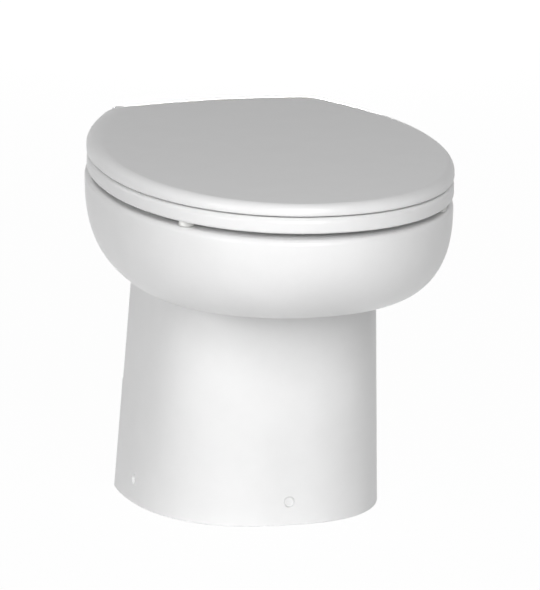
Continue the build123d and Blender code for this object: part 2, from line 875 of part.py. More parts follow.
with BuildPart() as hinge_studs:
    with BuildSketch(Plane.XY.offset(stud_bottom_z)):
        for x in both_sides(post_x):
            with Locations((x, hinge_y)):
                Circle(stud_radius)
    extrude(amount=stud_top_z - stud_bottom_z)
hinge_studs.part.label = "hinge_studs"
export_step(hinge_studs.part, "parts/hinge_studs.step")

with BuildPart() as hinge_washers:
    with BuildSketch(Plane.XY.offset(washer_z)):
        for x in both_sides(post_x):
            with Locations((x, hinge_y)):
                Circle(deck_washer_radius)
                Circle(stud_radius + running_clearance, mode=Mode.SUBTRACT)
    extrude(amount=deck_washer)
hinge_washers.part.label = "hinge_washers"
export_step(hinge_washers.part, "parts/hinge_washers.step")

with BuildPart() as hinge_wing_nuts:
    for x in both_sides(post_x):
        with BuildSketch(Plane.XY.offset(washer_z)):
            with Locations((x, hinge_y)):
                Circle(wing_nut_hub_radius)
        extrude(amount=-wing_nut_height)
        with BuildSketch(Plane.XY.offset(washer_z - wing_nut_height / 2)):
            with Locations((x, hinge_y)):
                Rectangle(wing_width, wing_span)
        extrude(amount=-wing_height)
        with Locations((x, hinge_y, washer_z)):
            Cylinder(
                stud_radius + running_clearance,
                2 * wing_height,
                align=(Align.CENTER, Align.CENTER, Align.MAX),
                mode=Mode.SUBTRACT,
            )
hinge_wing_nuts.part.label = "hinge_wing_nuts"
export_step(hinge_wing_nuts.part, "parts/hinge_wing_nuts.step")

# Base plate: screwed to the floor first. The casting is lowered over it and held by three side screws, which
# bite into its lugs, and it carries the pump and the rinse valve.
lug_face = ceramic_wall + lug_gap
floor_hole_places = [
    (x, widest_y + floor_hole_middle_reach + y)
    for x in both_sides(floor_hole_spacing_x / 2)
    for y in both_sides(floor_hole_spacing_y / 2)
]
foot_hole_places = [
    (x, discharge_y + y)
    for x in both_sides(foot_hole_spacing_x / 2)
    for y in both_sides(foot_hole_spacing_y / 2)
]
valve_y = widest_y + valve_reach
bracket_face_x = valve_x - valve_width / 2
bracket_foot_x = bracket_face_x - bracket_thickness + bracket_foot_screw_reach
bracket_hole_places = [(bracket_foot_x, valve_y + y) for y in both_sides(bracket_screw_spacing / 2)]
with BuildPart() as mounting_base:
    extrude(
        pedestal_face(0, 0, ceramic_wall + base_clearance, base_rear_reach - foot_rear_reach),
        amount=base_thickness,
    )
    for plane in fixing_planes:
        with BuildSketch(plane.offset(-lug_face)):
            with Locations((0, -fixing_height)):
                Rectangle(lug_width, lug_height, align=(Align.CENTER, Align.MIN))
        extrude(amount=-lug_thickness)
        with Locations(plane):
            Hole(side_screw_radius + running_clearance, depth=lug_face + lug_thickness)
    with Locations(*[(x, y, base_thickness) for x, y in floor_hole_places]):
        Cylinder(floor_hole_pad_radius, floor_hole_pad, align=(Align.CENTER, Align.CENTER, Align.MIN))
        Cylinder(floor_hole_radius, floor_hole_cut, mode=Mode.SUBTRACT)
    with Locations(*[(x, y, base_thickness) for x, y in foot_hole_places]):
        Hole(foot_screw_radius + running_clearance, depth=base_thickness)
    with Locations(*[(x, y, base_thickness) for x, y in bracket_hole_places]):
        Hole(bracket_screw_radius + running_clearance, depth=base_thickness)
mounting_base.part.label = "mounting_base"
export_step(mounting_base.part, "parts/mounting_base.step")

with BuildPart() as side_screws:
    for plane in fixing_planes:
        with BuildSketch(plane.offset(-cap_recess_depth)):
            Circle(side_screw_head_radius)
        extrude(amount=side_screw_head)
        with BuildSketch(plane.offset(-cap_recess_depth)):
            Circle(side_screw_radius)
        extrude(amount=-side_screw_length)
side_screws.part.label = "side_screws"
export_step(side_screws.part, "parts/side_screws.step")

with BuildPart() as screw_caps:
    for plane in fixing_planes:
        with BuildSketch(plane.offset(-cap_set_back)):
            Circle(cap_radius)
        extrude(amount=-cap_disc)
screw_caps.part.label = "screw_caps"
export_step(screw_caps.part, "parts/screw_caps.step")


# Pump: four housings clamped by long bolts along one axis, with a rubber seal under the rear cover
def station(y):
    """A plane across the pump's axis, facing forward"""
    return Plane((0, y, pump_axis_height), x_dir=(1, 0, 0), z_dir=(0, -1, 0))


def flange_face(y, bore_radius=0):
    """A pump flange with its bolt ears, bolt holes and bore"""
    with BuildSketch(station(y)) as face:
        Circle(pump_flange_radius)
        with PolarLocations(bolt_circle_radius, bolt_count, start_angle=bolt_angle):
            Circle(bolt_ear_radius)
            Circle(bolt_radius + running_clearance, mode=Mode.SUBTRACT)
        if bore_radius:
            Circle(bore_radius, mode=Mode.SUBTRACT)
    return face.sketch


def ring_face(plane, outer_radius, inner_radius):
    """A ring on a plane"""
    with BuildSketch(plane) as face:
        Circle(outer_radius)
        Circle(inner_radius, mode=Mode.SUBTRACT)
    return face.sketch


shaft_bore_radius = shaft_radius + running_clearance
seal_groove_radius = cover_seal_radius - cover_seal_section

with BuildPart() as pump_cover:
    extrude(flange_face(pump_rear_y), amount=cover_thickness)
    with BuildSketch(station(pump_rear_y)):
        Circle(cover_dome_radius)
        with PolarLocations(0, bolt_count, start_angle=bolt_angle):
            Rectangle(bolt_circle_radius - bolt_ear_radius, cover_rib_width, align=(Align.MIN, Align.CENTER))
    extrude(amount=-cover_dome_height)
    fillet(pump_cover.faces().sort_by(Axis.Y)[-1].edges(), radius=cover_rib_round)
    groove = ring_face(station(macerator_y), cover_seal_radius, seal_groove_radius)
    extrude(groove, amount=-cover_seal_section, mode=Mode.SUBTRACT)
pump_cover.part.label = "pump_cover"
export_step(pump_cover.part, "parts/pump_cover.step")

with BuildPart() as cover_seal:
    extrude(groove, amount=-cover_seal_section)
cover_seal.part.label = "cover_seal"
export_step(cover_seal.part, "parts/cover_seal.step")

with BuildPart() as macerator_housing:
    with BuildSketch(station(macerator_y)):
        Circle(pump_body_radius)
    extrude(amount=macerator_length)
    for y in (macerator_y, chopper_y + pump_flange_thickness):
        extrude(flange_face(y), amount=pump_flange_thickness)
    inlet_plane = Plane((0, inlet_y, pump_axis_height))
    with BuildSketch(inlet_plane):
        Circle(inlet_radius)
    extrude(amount=inlet_rise)
    with BuildSketch(station(macerator_y)):
        Circle(pump_bore_radius)
    extrude(amount=macerator_length, mode=Mode.SUBTRACT)
    with BuildSketch(inlet_plane):
        Circle(inlet_bore_radius)
    extrude(amount=inlet_rise, mode=Mode.SUBTRACT)
macerator_housing.part.label = "macerator_housing"
export_step(macerator_housing.part, "parts/macerator_housing.step")

with BuildPart() as chopper_plate:
    extrude(flange_face(chopper_y, chopper_bore_radius), amount=chopper_plate_thickness)
    with BuildSketch(station(chopper_y)):
        with PolarLocations(chopper_hole_ring_radius, chopper_hole_count):
            Circle(chopper_hole_radius)
    extrude(amount=chopper_plate_thickness, mode=Mode.SUBTRACT)
chopper_plate.part.label = "chopper_plate"
export_step(chopper_plate.part, "parts/chopper_plate.step")

with BuildPart() as chopper_blade:
    with BuildSketch(station(blade_y)):
        SlotOverall(blade_length, blade_width)
        Circle(blade_hub_radius)
        Circle(shaft_bore_radius, mode=Mode.SUBTRACT)
    extrude(amount=blade_thickness)
chopper_blade.part.label = "chopper_blade"
export_step(chopper_blade.part, "parts/chopper_blade.step")

with BuildPart() as blade_nut:
    with BuildSketch(station(blade_y + blade_nut_height)):
        RegularPolygon(blade_nut_radius, hexagon)
        Circle(shaft_bore_radius, mode=Mode.SUBTRACT)
    extrude(amount=blade_nut_height)
blade_nut.part.label = "blade_nut"
export_step(blade_nut.part, "parts/blade_nut.step")

foot_plate_z = base_thickness + grommet_height
discharge_plane = Plane((0, discharge_y, pump_axis_height), x_dir=(0, 1, 0), z_dir=(1, 0, 0))


def union_face(plane, bore_radius):
    """A pipe flange with its screw holes"""
    with BuildSketch(plane) as face:
        Circle(discharge_flange_radius)
        Circle(bore_radius, mode=Mode.SUBTRACT)
        with PolarLocations(union_screw_circle_radius, union_screw_count, start_angle=union_angle):
            Circle(union_screw_radius + running_clearance, mode=Mode.SUBTRACT)
    return face.sketch


with BuildPart() as volute_housing:
    with BuildSketch(station(volute_y)):
        Circle(pump_body_radius)
    extrude(amount=volute_length)
    for y in (volute_y, seal_plate_y + pump_flange_thickness):
        extrude(flange_face(y), amount=pump_flange_thickness)
    with BuildSketch(discharge_plane):
        Circle(discharge_radius)
    extrude(amount=discharge_face_x)
    with BuildSketch(Plane.XY.offset(foot_plate_z)):
        with Locations((0, discharge_y)):
            Rectangle(2 * foot_plate_half_width, foot_plate_depth)
    extrude(amount=foot_plate_thickness)
    with BuildSketch(Plane.XY.offset(foot_plate_z)):
        with Locations((0, discharge_y)):
            Rectangle(2 * foot_web_half_width, foot_web_depth)
    extrude(amount=pump_axis_height - foot_plate_z)
    with BuildSketch(station(volute_y)):
        Circle(pump_bore_radius)
    extrude(amount=volute_length, mode=Mode.SUBTRACT)
    with BuildSketch(discharge_plane):
        Circle(discharge_bore_radius)
    extrude(amount=discharge_face_x, mode=Mode.SUBTRACT)
    face_plane = discharge_plane.offset(discharge_face_x)
    extrude(union_face(face_plane, discharge_bore_radius), amount=-discharge_flange_thickness)
    with Locations(*[(x, y, foot_plate_z + foot_plate_thickness) for x, y in foot_hole_places]):
        Hole(foot_screw_radius + running_clearance, depth=foot_plate_thickness)
volute_housing.part.label = "volute_housing"
export_step(volute_housing.part, "parts/volute_housing.step")

impeller_y = seal_plate_y + impeller_face_gap
vane = CenterArc((vane_radius, 0), vane_radius, vane_start_angle, vane_angle)
with BuildPart() as impeller:
    with BuildSketch(station(impeller_y + impeller_disc)):
        Circle(impeller_radius)
    extrude(amount=impeller_disc)
    with BuildSketch(station(impeller_y + impeller_width)):
        Circle(impeller_hub_radius)
        with PolarLocations(0, vane_count):
            SlotArc(vane, vane_thickness)
    extrude(amount=impeller_width - impeller_disc)
    with BuildSketch(station(impeller_y + impeller_width)):
        Circle(shaft_bore_radius)
    extrude(amount=impeller_width, mode=Mode.SUBTRACT)
impeller.part.label = "impeller"
export_step(impeller.part, "parts/impeller.step")

with BuildPart() as seal_plate:
    extrude(flange_face(seal_plate_y, shaft_hole_radius), amount=seal_plate_thickness)
    with BuildSketch(station(seal_plate_y)):
        Circle(shaft_seal_radius)
    extrude(amount=shaft_seal_length, mode=Mode.SUBTRACT)
seal_plate.part.label = "seal_plate"
export_step(seal_plate.part, "parts/seal_plate.step")

with BuildPart() as shaft_seal:
    extrude(
        ring_face(station(seal_plate_y), shaft_seal_radius, shaft_bore_radius), amount=shaft_seal_length
    )
shaft_seal.part.label = "shaft_seal"
export_step(shaft_seal.part, "parts/shaft_seal.step")

# Motor: a steel can with two magnets, a slotted core and a commutator on the pump's shaft
motor_bolt_hole_radius = motor_bolt_radius + running_clearance


def motor_bolt_face(y, radius):
    """A circle for each motor bolt, above and below the shaft"""
    with BuildSketch(station(y)) as face:
        with PolarLocations(motor_bolt_circle_radius, motor_bolt_count, start_angle=quarter_turn):
            Circle(radius)
    return face.sketch


with BuildPart() as motor_flange:
    extrude(flange_face(motor_flange_y), amount=motor_flange_thickness)
    with BuildSketch(station(motor_y)):
        Circle(bush_boss_radius)
    extrude(amount=bush_boss)
    with BuildSketch(station(motor_flange_y)):
        Circle(bush_radius)
    extrude(amount=motor_flange_thickness + bush_boss, mode=Mode.SUBTRACT)
    extrude(
        motor_bolt_face(motor_flange_y, motor_bolt_hole_radius),
        amount=motor_flange_thickness,
        mode=Mode.SUBTRACT,
    )
motor_flange.part.label = "motor_flange"
export_step(motor_flange.part, "parts/motor_flange.step")

with BuildPart() as motor_bushes:
    for y in (motor_flange_y, motor_cap_y):
        extrude(ring_face(station(y), bush_radius, shaft_bore_radius), amount=bush_length)
motor_bushes.part.label = "motor_bushes"
export_step(motor_bushes.part, "parts/motor_bushes.step")

can_inner_radius = motor_radius - motor_wall
brush_y = commutator_y - commutator_length / 2
gland_plane = Plane((0, brush_y, pump_axis_height), x_dir=(0, -1, 0), z_dir=(-1, 0, 0))
with BuildPart() as motor_can:
    extrude(ring_face(station(motor_y), motor_radius, can_inner_radius), amount=motor_length)
    with BuildSketch(gland_plane):
        Circle(gland_radius + running_clearance)
    extrude(amount=motor_radius, mode=Mode.SUBTRACT)
motor_can.part.label = "motor_can"
export_step(motor_can.part, "parts/motor_can.step")

with BuildPart() as cable_gland:
    with BuildSketch(gland_plane.offset(can_inner_radius)):
        Circle(gland_radius)
    extrude(amount=gland_length)
    with BuildSketch(gland_plane.offset(motor_radius + loose_clearance)):
        RegularPolygon(gland_flats_radius, hexagon)
    extrude(amount=gland_flats)
    with BuildSketch(gland_plane.offset(can_inner_radius)):
        Circle(gland_bore_radius)
    extrude(amount=gland_length, mode=Mode.SUBTRACT)
cable_gland.part.label = "cable_gland"
export_step(cable_gland.part, "parts/cable_gland.step")

magnet_inner_radius = can_inner_radius - magnet_thickness
magnet_y = core_y + (magnet_length - core_length) / 2
with BuildPart() as motor_magnets:
    with BuildSketch(station(magnet_y)):
        for turn in (0, half_turn):
            with BuildLine():
                outer = CenterArc((0, 0), can_inner_radius, turn - magnet_angle / 2, magnet_angle)
                inner = CenterArc((0, 0), magnet_inner_radius, turn - magnet_angle / 2, magnet_angle)
                Line(outer @ 0, inner @ 0)
                Line(outer @ 1, inner @ 1)
            make_face()
    extrude(amount=magnet_length)
motor_magnets.part.label = "motor_magnets"
export_step(motor_magnets.part, "parts/motor_magnets.step")

core_radius = magnet_inner_radius - air_gap
with BuildPart() as armature_core:
    with BuildSketch(station(core_y)):
        Circle(core_radius)
        Circle(shaft_bore_radius, mode=Mode.SUBTRACT)
        with PolarLocations(core_radius, core_slots):
            Rectangle(2 * core_slot_depth, core_slot_width, mode=Mode.SUBTRACT)
    extrude(amount=core_length)
armature_core.part.label = "armature_core"
export_step(armature_core.part, "parts/armature_core.step")

with BuildPart() as commutator:
    extrude(
        ring_face(station(commutator_y), commutator_radius, shaft_bore_radius), amount=commutator_length
    )
commutator.part.label = "commutator"
export_step(commutator.part, "parts/commutator.step")

brush_inner_x = commutator_radius + loose_clearance
brush_holder_x = brush_inner_x + brush_stand_out
brush_holder_rear_y = brush_y + brush_thickness / 2 + brush_holder_wall
brush_holder_width = brush_width + 2 * brush_holder_wall


def brush_hole_plane(side):
    """The inner end of a brush, facing out along it"""
    return Plane((side * brush_inner_x, brush_y, pump_axis_height), x_dir=(0, side, 0), z_dir=(side, 0, 0))


with BuildPart() as motor_end_cap:
    with BuildSketch(station(motor_cap_y)):
        Circle(motor_radius)
    extrude(amount=motor_cap_length)
    with BuildSketch(station(motor_cap_y - motor_cap_length)):
        Circle(bush_boss_radius)
    extrude(amount=bush_boss)
    with BuildSketch(station(brush_holder_rear_y)):
        for side in (-1, 1):
            with Locations((side * (brush_holder_x + brush_length / 2), 0)):
                Rectangle(brush_length, brush_holder_width)
    extrude(amount=brush_holder_rear_y - motor_cap_y)
    with BuildSketch(station(motor_cap_y)):
        Circle(bush_radius)
    extrude(amount=bush_length, mode=Mode.SUBTRACT)
    for side in (-1, 1):
        with BuildSketch(brush_hole_plane(side)):
            Rectangle(brush_thickness + 2 * running_clearance, brush_width + 2 * running_clearance)
        extrude(amount=brush_stand_out + brush_length, mode=Mode.SUBTRACT)
    extrude(
        motor_bolt_face(motor_cap_y, motor_bolt_hole_radius), amount=motor_cap_length, mode=Mode.SUBTRACT
    )
motor_end_cap.part.label = "motor_end_cap"
export_step(motor_end_cap.part, "parts/motor_end_cap.step")

with BuildPart() as motor_brushes:
    for side in (-1, 1):
        with BuildSketch(brush_hole_plane(side)):
            Rectangle(brush_thickness, brush_width)
        extrude(amount=brush_length)
motor_brushes.part.label = "motor_brushes"
export_step(motor_brushes.part, "parts/motor_brushes.step")

with BuildPart() as motor_bolts:
    extrude(
        motor_bolt_face(motor_flange_y - loose_clearance, motor_bolt_radius),
        amount=motor_flange_thickness - loose_clearance + motor_length + motor_cap_length,
    )
    extrude(motor_bolt_face(motor_cap_y - motor_cap_length, motor_bolt_head_radius), amount=motor_bolt_head)
motor_bolts.part.label = "motor_bolts"
export_step(motor_bolts.part, "parts/motor_bolts.step")

shaft_rear_y = blade_y + blade_nut_height + shaft_tail
shaft_front_y = motor_cap_y - bush_length + loose_clearance
with BuildPart() as motor_shaft:
    with BuildSketch(station(shaft_rear_y)):
        Circle(shaft_radius)
    extrude(amount=shaft_rear_y - shaft_front_y)
motor_shaft.part.label = "motor_shaft"
export_step(motor_shaft.part, "parts/motor_shaft.step")


def bolt_face(y, radius, sides=0):
    """A circle or hexagon for each of the pump's long bolts"""
    with BuildSketch(station(y)) as face:
        with PolarLocations(bolt_circle_radius, bolt_count, start_angle=bolt_angle):
            if sides:
                RegularPolygon(radius, sides)
            else:
                Circle(radius)
    return face.sketch


bolt_front_y = motor_y - bolt_nut - bolt_tail
with BuildPart() as housing_bolts:
    extrude(bolt_face(pump_rear_y + bolt_head, bolt_head_radius), amount=bolt_head)
    extrude(bolt_face(pump_rear_y, bolt_radius), amount=pump_rear_y - bolt_front_y)
housing_bolts.part.label = "housing_bolts"
export_step(housing_bolts.part, "parts/housing_bolts.step")

with BuildPart() as housing_nuts:
    extrude(bolt_face(motor_y, bolt_nut_radius, hexagon), amount=bolt_nut)
    extrude(bolt_face(motor_y, bolt_radius + running_clearance), amount=bolt_nut, mode=Mode.SUBTRACT)
housing_nuts.part.label = "housing_nuts"
export_step(housing_nuts.part, "parts/housing_nuts.step")

with BuildPart() as pump_grommets:
    with BuildSketch(Plane.XY.offset(base_thickness)):
        with Locations(*foot_hole_places):
            Circle(grommet_radius)
            Circle(foot_screw_radius + running_clearance, mode=Mode.SUBTRACT)
    extrude(amount=grommet_height)
pump_grommets.part.label = "pump_grommets"
export_step(pump_grommets.part, "parts/pump_grommets.step")

foot_top_z = foot_plate_z + foot_plate_thickness
with BuildPart() as foot_screws:
    with BuildSketch(Plane.XY.offset(base_thickness - foot_screw_grip)):
        with Locations(*foot_hole_places):
            Circle(foot_screw_radius)
    extrude(amount=foot_top_z - base_thickness + foot_screw_grip)
    with BuildSketch(Plane.XY.offset(foot_top_z)):
        with Locations(*foot_hole_places):
            Circle(foot_screw_head_radius)
    extrude(amount=foot_screw_head)
foot_screws.part.label = "foot_screws"
export_step(foot_screws.part, "parts/foot_screws.step")

# Outlet boot: a ribbed rubber sleeve from the casting's horn down to the pump's inlet, under two clamps
boot_bore_radius = horn_radius + running_clearance
boot_radius = boot_bore_radius + boot_wall
rib_pitch = (boot_top - boot_bottom - 2 * (clamp_inset + clamp_width)) / (boot_rib_count + 1)


def clamp_face(plane, radius):
    """A clamp band with the housing of its tightening screw"""
    band_radius = radius + running_clearance + clamp_thickness
    with BuildSketch(plane) as face:
        with Locations((0, band_radius - clamp_thickness / 2)):
            Rectangle(clamp_screw_length, clamp_screw_width, align=(Align.CENTER, Align.MIN))
        Circle(band_radius)
        Circle(radius + running_clearance, mode=Mode.SUBTRACT)
    return face.sketch


with BuildPart() as outlet_boot:
    boot_plane = Plane((0, inlet_y, boot_bottom))
    extrude(ring_face(boot_plane, boot_radius, boot_bore_radius), amount=boot_top - boot_bottom)
    for rib in range(boot_rib_count):
        rib_rise = clamp_inset + clamp_width + (rib + 1) * rib_pitch - boot_rib_width / 2
        rib_plane = boot_plane.offset(rib_rise)
        extrude(ring_face(rib_plane, boot_radius + boot_rib, boot_bore_radius), amount=boot_rib_width)
outlet_boot.part.label = "outlet_boot"
export_step(outlet_boot.part, "parts/outlet_boot.step")

with BuildPart() as boot_clamps:
    for z in (boot_bottom + clamp_inset, boot_top - clamp_inset - clamp_width):
        extrude(clamp_face(Plane((0, inlet_y, z)), boot_radius), amount=clamp_width)
boot_clamps.part.label = "boot_clamps"
export_step(boot_clamps.part, "parts/boot_clamps.step")

# Discharge: an elbow from the pump to a rubber duckbill valve, then a plain spigot for the owner's hose
elbow_start_x = discharge_face_x + discharge_flange_thickness
joker_y = elbow_rear_y + joker_flange


def pipe_station(y):
    """A plane across the discharge pipe, facing rearward"""
    return Plane((discharge_x, y, pump_axis_height), x_dir=(1, 0, 0), z_dir=(0, 1, 0))


with BuildPart() as discharge_elbow:
    with BuildLine(Plane.XY.offset(pump_axis_height)):
        bend = JernArc((elbow_start_x, discharge_y), (1, 0), elbow_bend_radius, quarter_turn)
        Line(bend @ 1, (discharge_x, elbow_rear_y))
    elbow_plane = discharge_plane.offset(elbow_start_x)
    with BuildSketch(elbow_plane):
        Circle(discharge_radius)
        Circle(discharge_bore_radius, mode=Mode.SUBTRACT)
    sweep()
    extrude(union_face(elbow_plane, discharge_bore_radius), amount=-discharge_flange_thickness)
    rear_face = union_face(pipe_station(elbow_rear_y), discharge_bore_radius)
    extrude(rear_face, amount=-discharge_flange_thickness)
discharge_elbow.part.label = "discharge_elbow"
export_step(discharge_elbow.part, "parts/discharge_elbow.step")

with BuildPart() as joker_valve:
    with BuildSketch(pipe_station(elbow_rear_y)):
        Circle(joker_radius)
    with BuildSketch(pipe_station(joker_y + joker_length)):
        Rectangle(2 * joker_radius, joker_tip_width)
    loft()
    with BuildSketch(pipe_station(elbow_rear_y)):
        Circle(joker_radius - joker_wall)
    with BuildSketch(pipe_station(joker_y + joker_length)):
        Rectangle(2 * (joker_radius - joker_wall), joker_slit)
    loft(mode=Mode.SUBTRACT)
    extrude(union_face(pipe_station(elbow_rear_y), joker_radius - joker_wall / 2), amount=joker_flange)
joker_valve.part.label = "joker_valve"
export_step(joker_valve.part, "parts/joker_valve.step")

spigot_rear_y = widest_y + spigot_rear_reach
spigot_collar_y = spigot_rear_y - spigot_length - spigot_collar
with BuildPart() as discharge_spigot:
    extrude(union_face(pipe_station(joker_y), spigot_bore_radius), amount=discharge_flange_thickness)
    extrude(
        ring_face(pipe_station(joker_y), spigot_radius, spigot_bore_radius), amount=spigot_rear_y - joker_y
    )
    extrude(
        ring_face(pipe_station(spigot_collar_y), spigot_collar_radius, spigot_bore_radius), amount=spigot_collar
    )
discharge_spigot.part.label = "discharge_spigot"
export_step(discharge_spigot.part, "parts/discharge_spigot.step")


def union_screw_face(plane, radius):
    """A circle for each screw of a pipe flange"""
    with BuildSketch(plane) as face:
        with PolarLocations(union_screw_circle_radius, union_screw_count, start_angle=union_angle):
            Circle(radius)
    return face.sketch


screw_head_plane = pipe_station(elbow_rear_y - discharge_flange_thickness)
with BuildPart() as union_screws:
    extrude(union_screw_face(elbow_plane, union_screw_head_radius), amount=union_screw_head)
    extrude(
        union_screw_face(elbow_plane, union_screw_radius),
        amount=-(2 * discharge_flange_thickness + union_screw_tail),
    )
    extrude(union_screw_face(screw_head_plane, union_screw_head_radius), amount=-union_screw_head)
    extrude(
        union_screw_face(screw_head_plane, union_screw_radius),
        amount=2 * discharge_flange_thickness + joker_flange + union_screw_tail,
    )
union_screws.part.label = "union_screws"
export_step(union_screws.part, "parts/union_screws.step")

# Rinse valve: a solenoid valve on an angle bracket. Its spring holds the plunger down on the nozzle.
inlet_z = valve_bottom + valve_inlet_rise
outlet_z = valve_bottom + valve_outlet_rise
chamber_floor = valve_top - valve_chamber_depth
bracket_screw_z = valve_bottom + valve_tall / 2


def valve_rear_plane(z):
    """A port on the rear of the valve's body, facing rearward"""
    return Plane((valve_x, valve_rear_y, z), x_dir=(-1, 0, 0), z_dir=(0, 1, 0))


def valve_level(z):
    """A plane across the valve's upright axis"""
    return Plane((valve_x, valve_y, z))


bracket_side = Plane((bracket_face_x, valve_y, bracket_screw_z), x_dir=(0, -1, 0), z_dir=(-1, 0, 0))


def bracket_screw_face(radius, upright):
    """A circle for each of the two screws in the bracket's foot or in its upright"""
    if upright:
        plane = bracket_side.offset(bracket_thickness)
        places = [(y, 0) for y in both_sides(bracket_screw_spacing / 2)]
    else:
        plane = Plane((bracket_foot_x, valve_y, base_thickness + bracket_thickness))
        places = [(0, y) for y in both_sides(bracket_screw_spacing / 2)]
    with BuildSketch(plane) as face:
        with Locations(*places):
            Circle(radius)
    return face.sketch


with BuildPart() as valve_bracket:
    with BuildSketch(Plane((bracket_face_x, valve_y, base_thickness))):
        Rectangle(bracket_thickness, bracket_width, align=(Align.MAX, Align.CENTER))
    extrude(amount=valve_top - base_thickness)
    with BuildSketch(Plane((bracket_face_x - bracket_thickness, valve_y, base_thickness))):
        Rectangle(bracket_foot, bracket_width, align=(Align.MIN, Align.CENTER))
    extrude(amount=bracket_thickness)
    for upright in (True, False):
        holes = bracket_screw_face(bracket_screw_radius + running_clearance, upright)
        extrude(holes, amount=-bracket_thickness, mode=Mode.SUBTRACT)
valve_bracket.part.label = "valve_bracket"
export_step(valve_bracket.part, "parts/valve_bracket.step")

with BuildPart() as valve_body:
    with BuildSketch(valve_level(valve_bottom)):
        RectangleRounded(valve_width, valve_depth, valve_corner)
    extrude(amount=valve_tall)
    with BuildSketch(valve_rear_plane(inlet_z)):
        Circle(valve_inlet_radius)
    extrude(amount=valve_inlet_length)
    with BuildSketch(valve_rear_plane(outlet_z)):
        Circle(valve_outlet_radius)
    extrude(amount=valve_outlet_length)
    with BuildSketch(valve_level(valve_top)):
        Circle(valve_chamber_radius)
    extrude(amount=-valve_chamber_depth, mode=Mode.SUBTRACT)
    with BuildSketch(valve_level(chamber_floor)):
        Circle(valve_nozzle_radius)
    extrude(amount=inlet_z - chamber_floor, mode=Mode.SUBTRACT)
    with BuildSketch(valve_rear_plane(inlet_z).offset(valve_inlet_length)):
        Circle(valve_inlet_bore_radius)
    extrude(amount=-(valve_inlet_length + valve_depth / 2 + valve_nozzle_radius), mode=Mode.SUBTRACT)
    with BuildSketch(valve_rear_plane(outlet_z).offset(valve_outlet_length)):
        Circle(valve_outlet_bore_radius)
    extrude(amount=-(valve_outlet_length + valve_depth / 2 - valve_nozzle_radius), mode=Mode.SUBTRACT)
    holes = bracket_screw_face(bracket_screw_radius + running_clearance, True)
    extrude(holes, amount=-(bracket_thickness + bracket_screw_grip), mode=Mode.SUBTRACT)
valve_body.part.label = "valve_body"
export_step(valve_body.part, "parts/valve_body.step")

guide_bore_radius = guide_radius - guide_wall
with BuildPart() as valve_guide:
    extrude(ring_face(valve_level(valve_top), guide_flange_radius, guide_bore_radius), amount=guide_flange)
    with BuildSketch(valve_level(valve_top)):
        Circle(guide_radius)
    extrude(amount=guide_top - valve_top)
    with BuildSketch(valve_level(valve_top)):
        Circle(guide_bore_radius)
    extrude(amount=guide_top - valve_top - guide_wall, mode=Mode.SUBTRACT)
valve_guide.part.label = "valve_guide"
export_step(valve_guide.part, "parts/valve_guide.step")

coil_bottom = valve_top + guide_flange + coil_gap
coil_top = coil_bottom + coil_length
terminal_plane = Plane(
    (valve_x, valve_y - coil_width / 2, coil_bottom + coil_length / 2), x_dir=(1, 0, 0), z_dir=(0, -1, 0)
)
with BuildPart() as valve_coil:
    with BuildSketch(valve_level(coil_bottom)):
        RectangleRounded(coil_width, coil_width, coil_corner)
        Circle(guide_radius + running_clearance, mode=Mode.SUBTRACT)
    extrude(amount=coil_length)
valve_coil.part.label = "valve_coil"
export_step(valve_coil.part, "parts/valve_coil.step")

with BuildPart() as coil_terminals:
    with BuildSketch(terminal_plane):
        with Locations(*[(x, 0) for x in both_sides(terminal_spacing / 2)]):
            Rectangle(terminal_thickness, terminal_width)
    extrude(amount=terminal_length)
coil_terminals.part.label = "coil_terminals"
export_step(coil_terminals.part, "parts/coil_terminals.step")

with BuildPart() as coil_nut:
    with BuildSketch(valve_level(coil_top)):
        RegularPolygon(coil_nut_radius, hexagon)
        Circle(guide_radius + running_clearance, mode=Mode.SUBTRACT)
    extrude(amount=coil_nut_height)
coil_nut.part.label = "coil_nut"
export_step(coil_nut.part, "parts/coil_nut.step")

plunger_radius = guide_bore_radius - loose_clearance
plunger_bottom = chamber_floor + loose_clearance + plunger_tip
plunger_top = plunger_bottom + plunger_length
with BuildPart() as valve_plunger:
    with BuildSketch(valve_level(plunger_bottom)):
        Circle(plunger_tip_radius)
    extrude(amount=-plunger_tip)
    with BuildSketch(valve_level(plunger_bottom)):
        Circle(plunger_radius)
    extrude(amount=plunger_length)
    with BuildSketch(valve_level(plunger_top)):
        Circle(spring_radius + spring_wire_radius + loose_clearance / 2)
    extrude(amount=-spring_pocket, mode=Mode.SUBTRACT)
valve_plunger.part.label = "valve_plunger"
export_step(valve_plunger.part, "parts/valve_plunger.step")

spring_bottom = plunger_top - spring_pocket + loose_clearance + spring_wire_radius
spring_top = guide_top - guide_wall - loose_clearance - spring_wire_radius
with BuildPart() as plunger_spring:
    with BuildLine():
        coil = Helix(
            (spring_top - spring_bottom) / spring_turns,
            spring_top - spring_bottom,
            spring_radius,
            center=(valve_x, valve_y, spring_bottom),
        )
    with BuildSketch(Plane(coil @ 0, z_dir=coil % 0)):
        Circle(spring_wire_radius)
    sweep()
plunger_spring.part.label = "plunger_spring"
export_step(plunger_spring.part, "parts/plunger_spring.step")

with BuildPart() as bracket_screws:
    for upright, grip in ((True, bracket_screw_grip), (False, foot_screw_grip)):
        extrude(bracket_screw_face(bracket_screw_head_radius, upright), amount=bracket_screw_head)
        shanks = bracket_screw_face(bracket_screw_radius, upright)
        extrude(shanks, amount=-(bracket_thickness + grip - loose_clearance))
bracket_screws.part.label = "bracket_screws"
export_step(bracket_screws.part, "parts/bracket_screws.step")

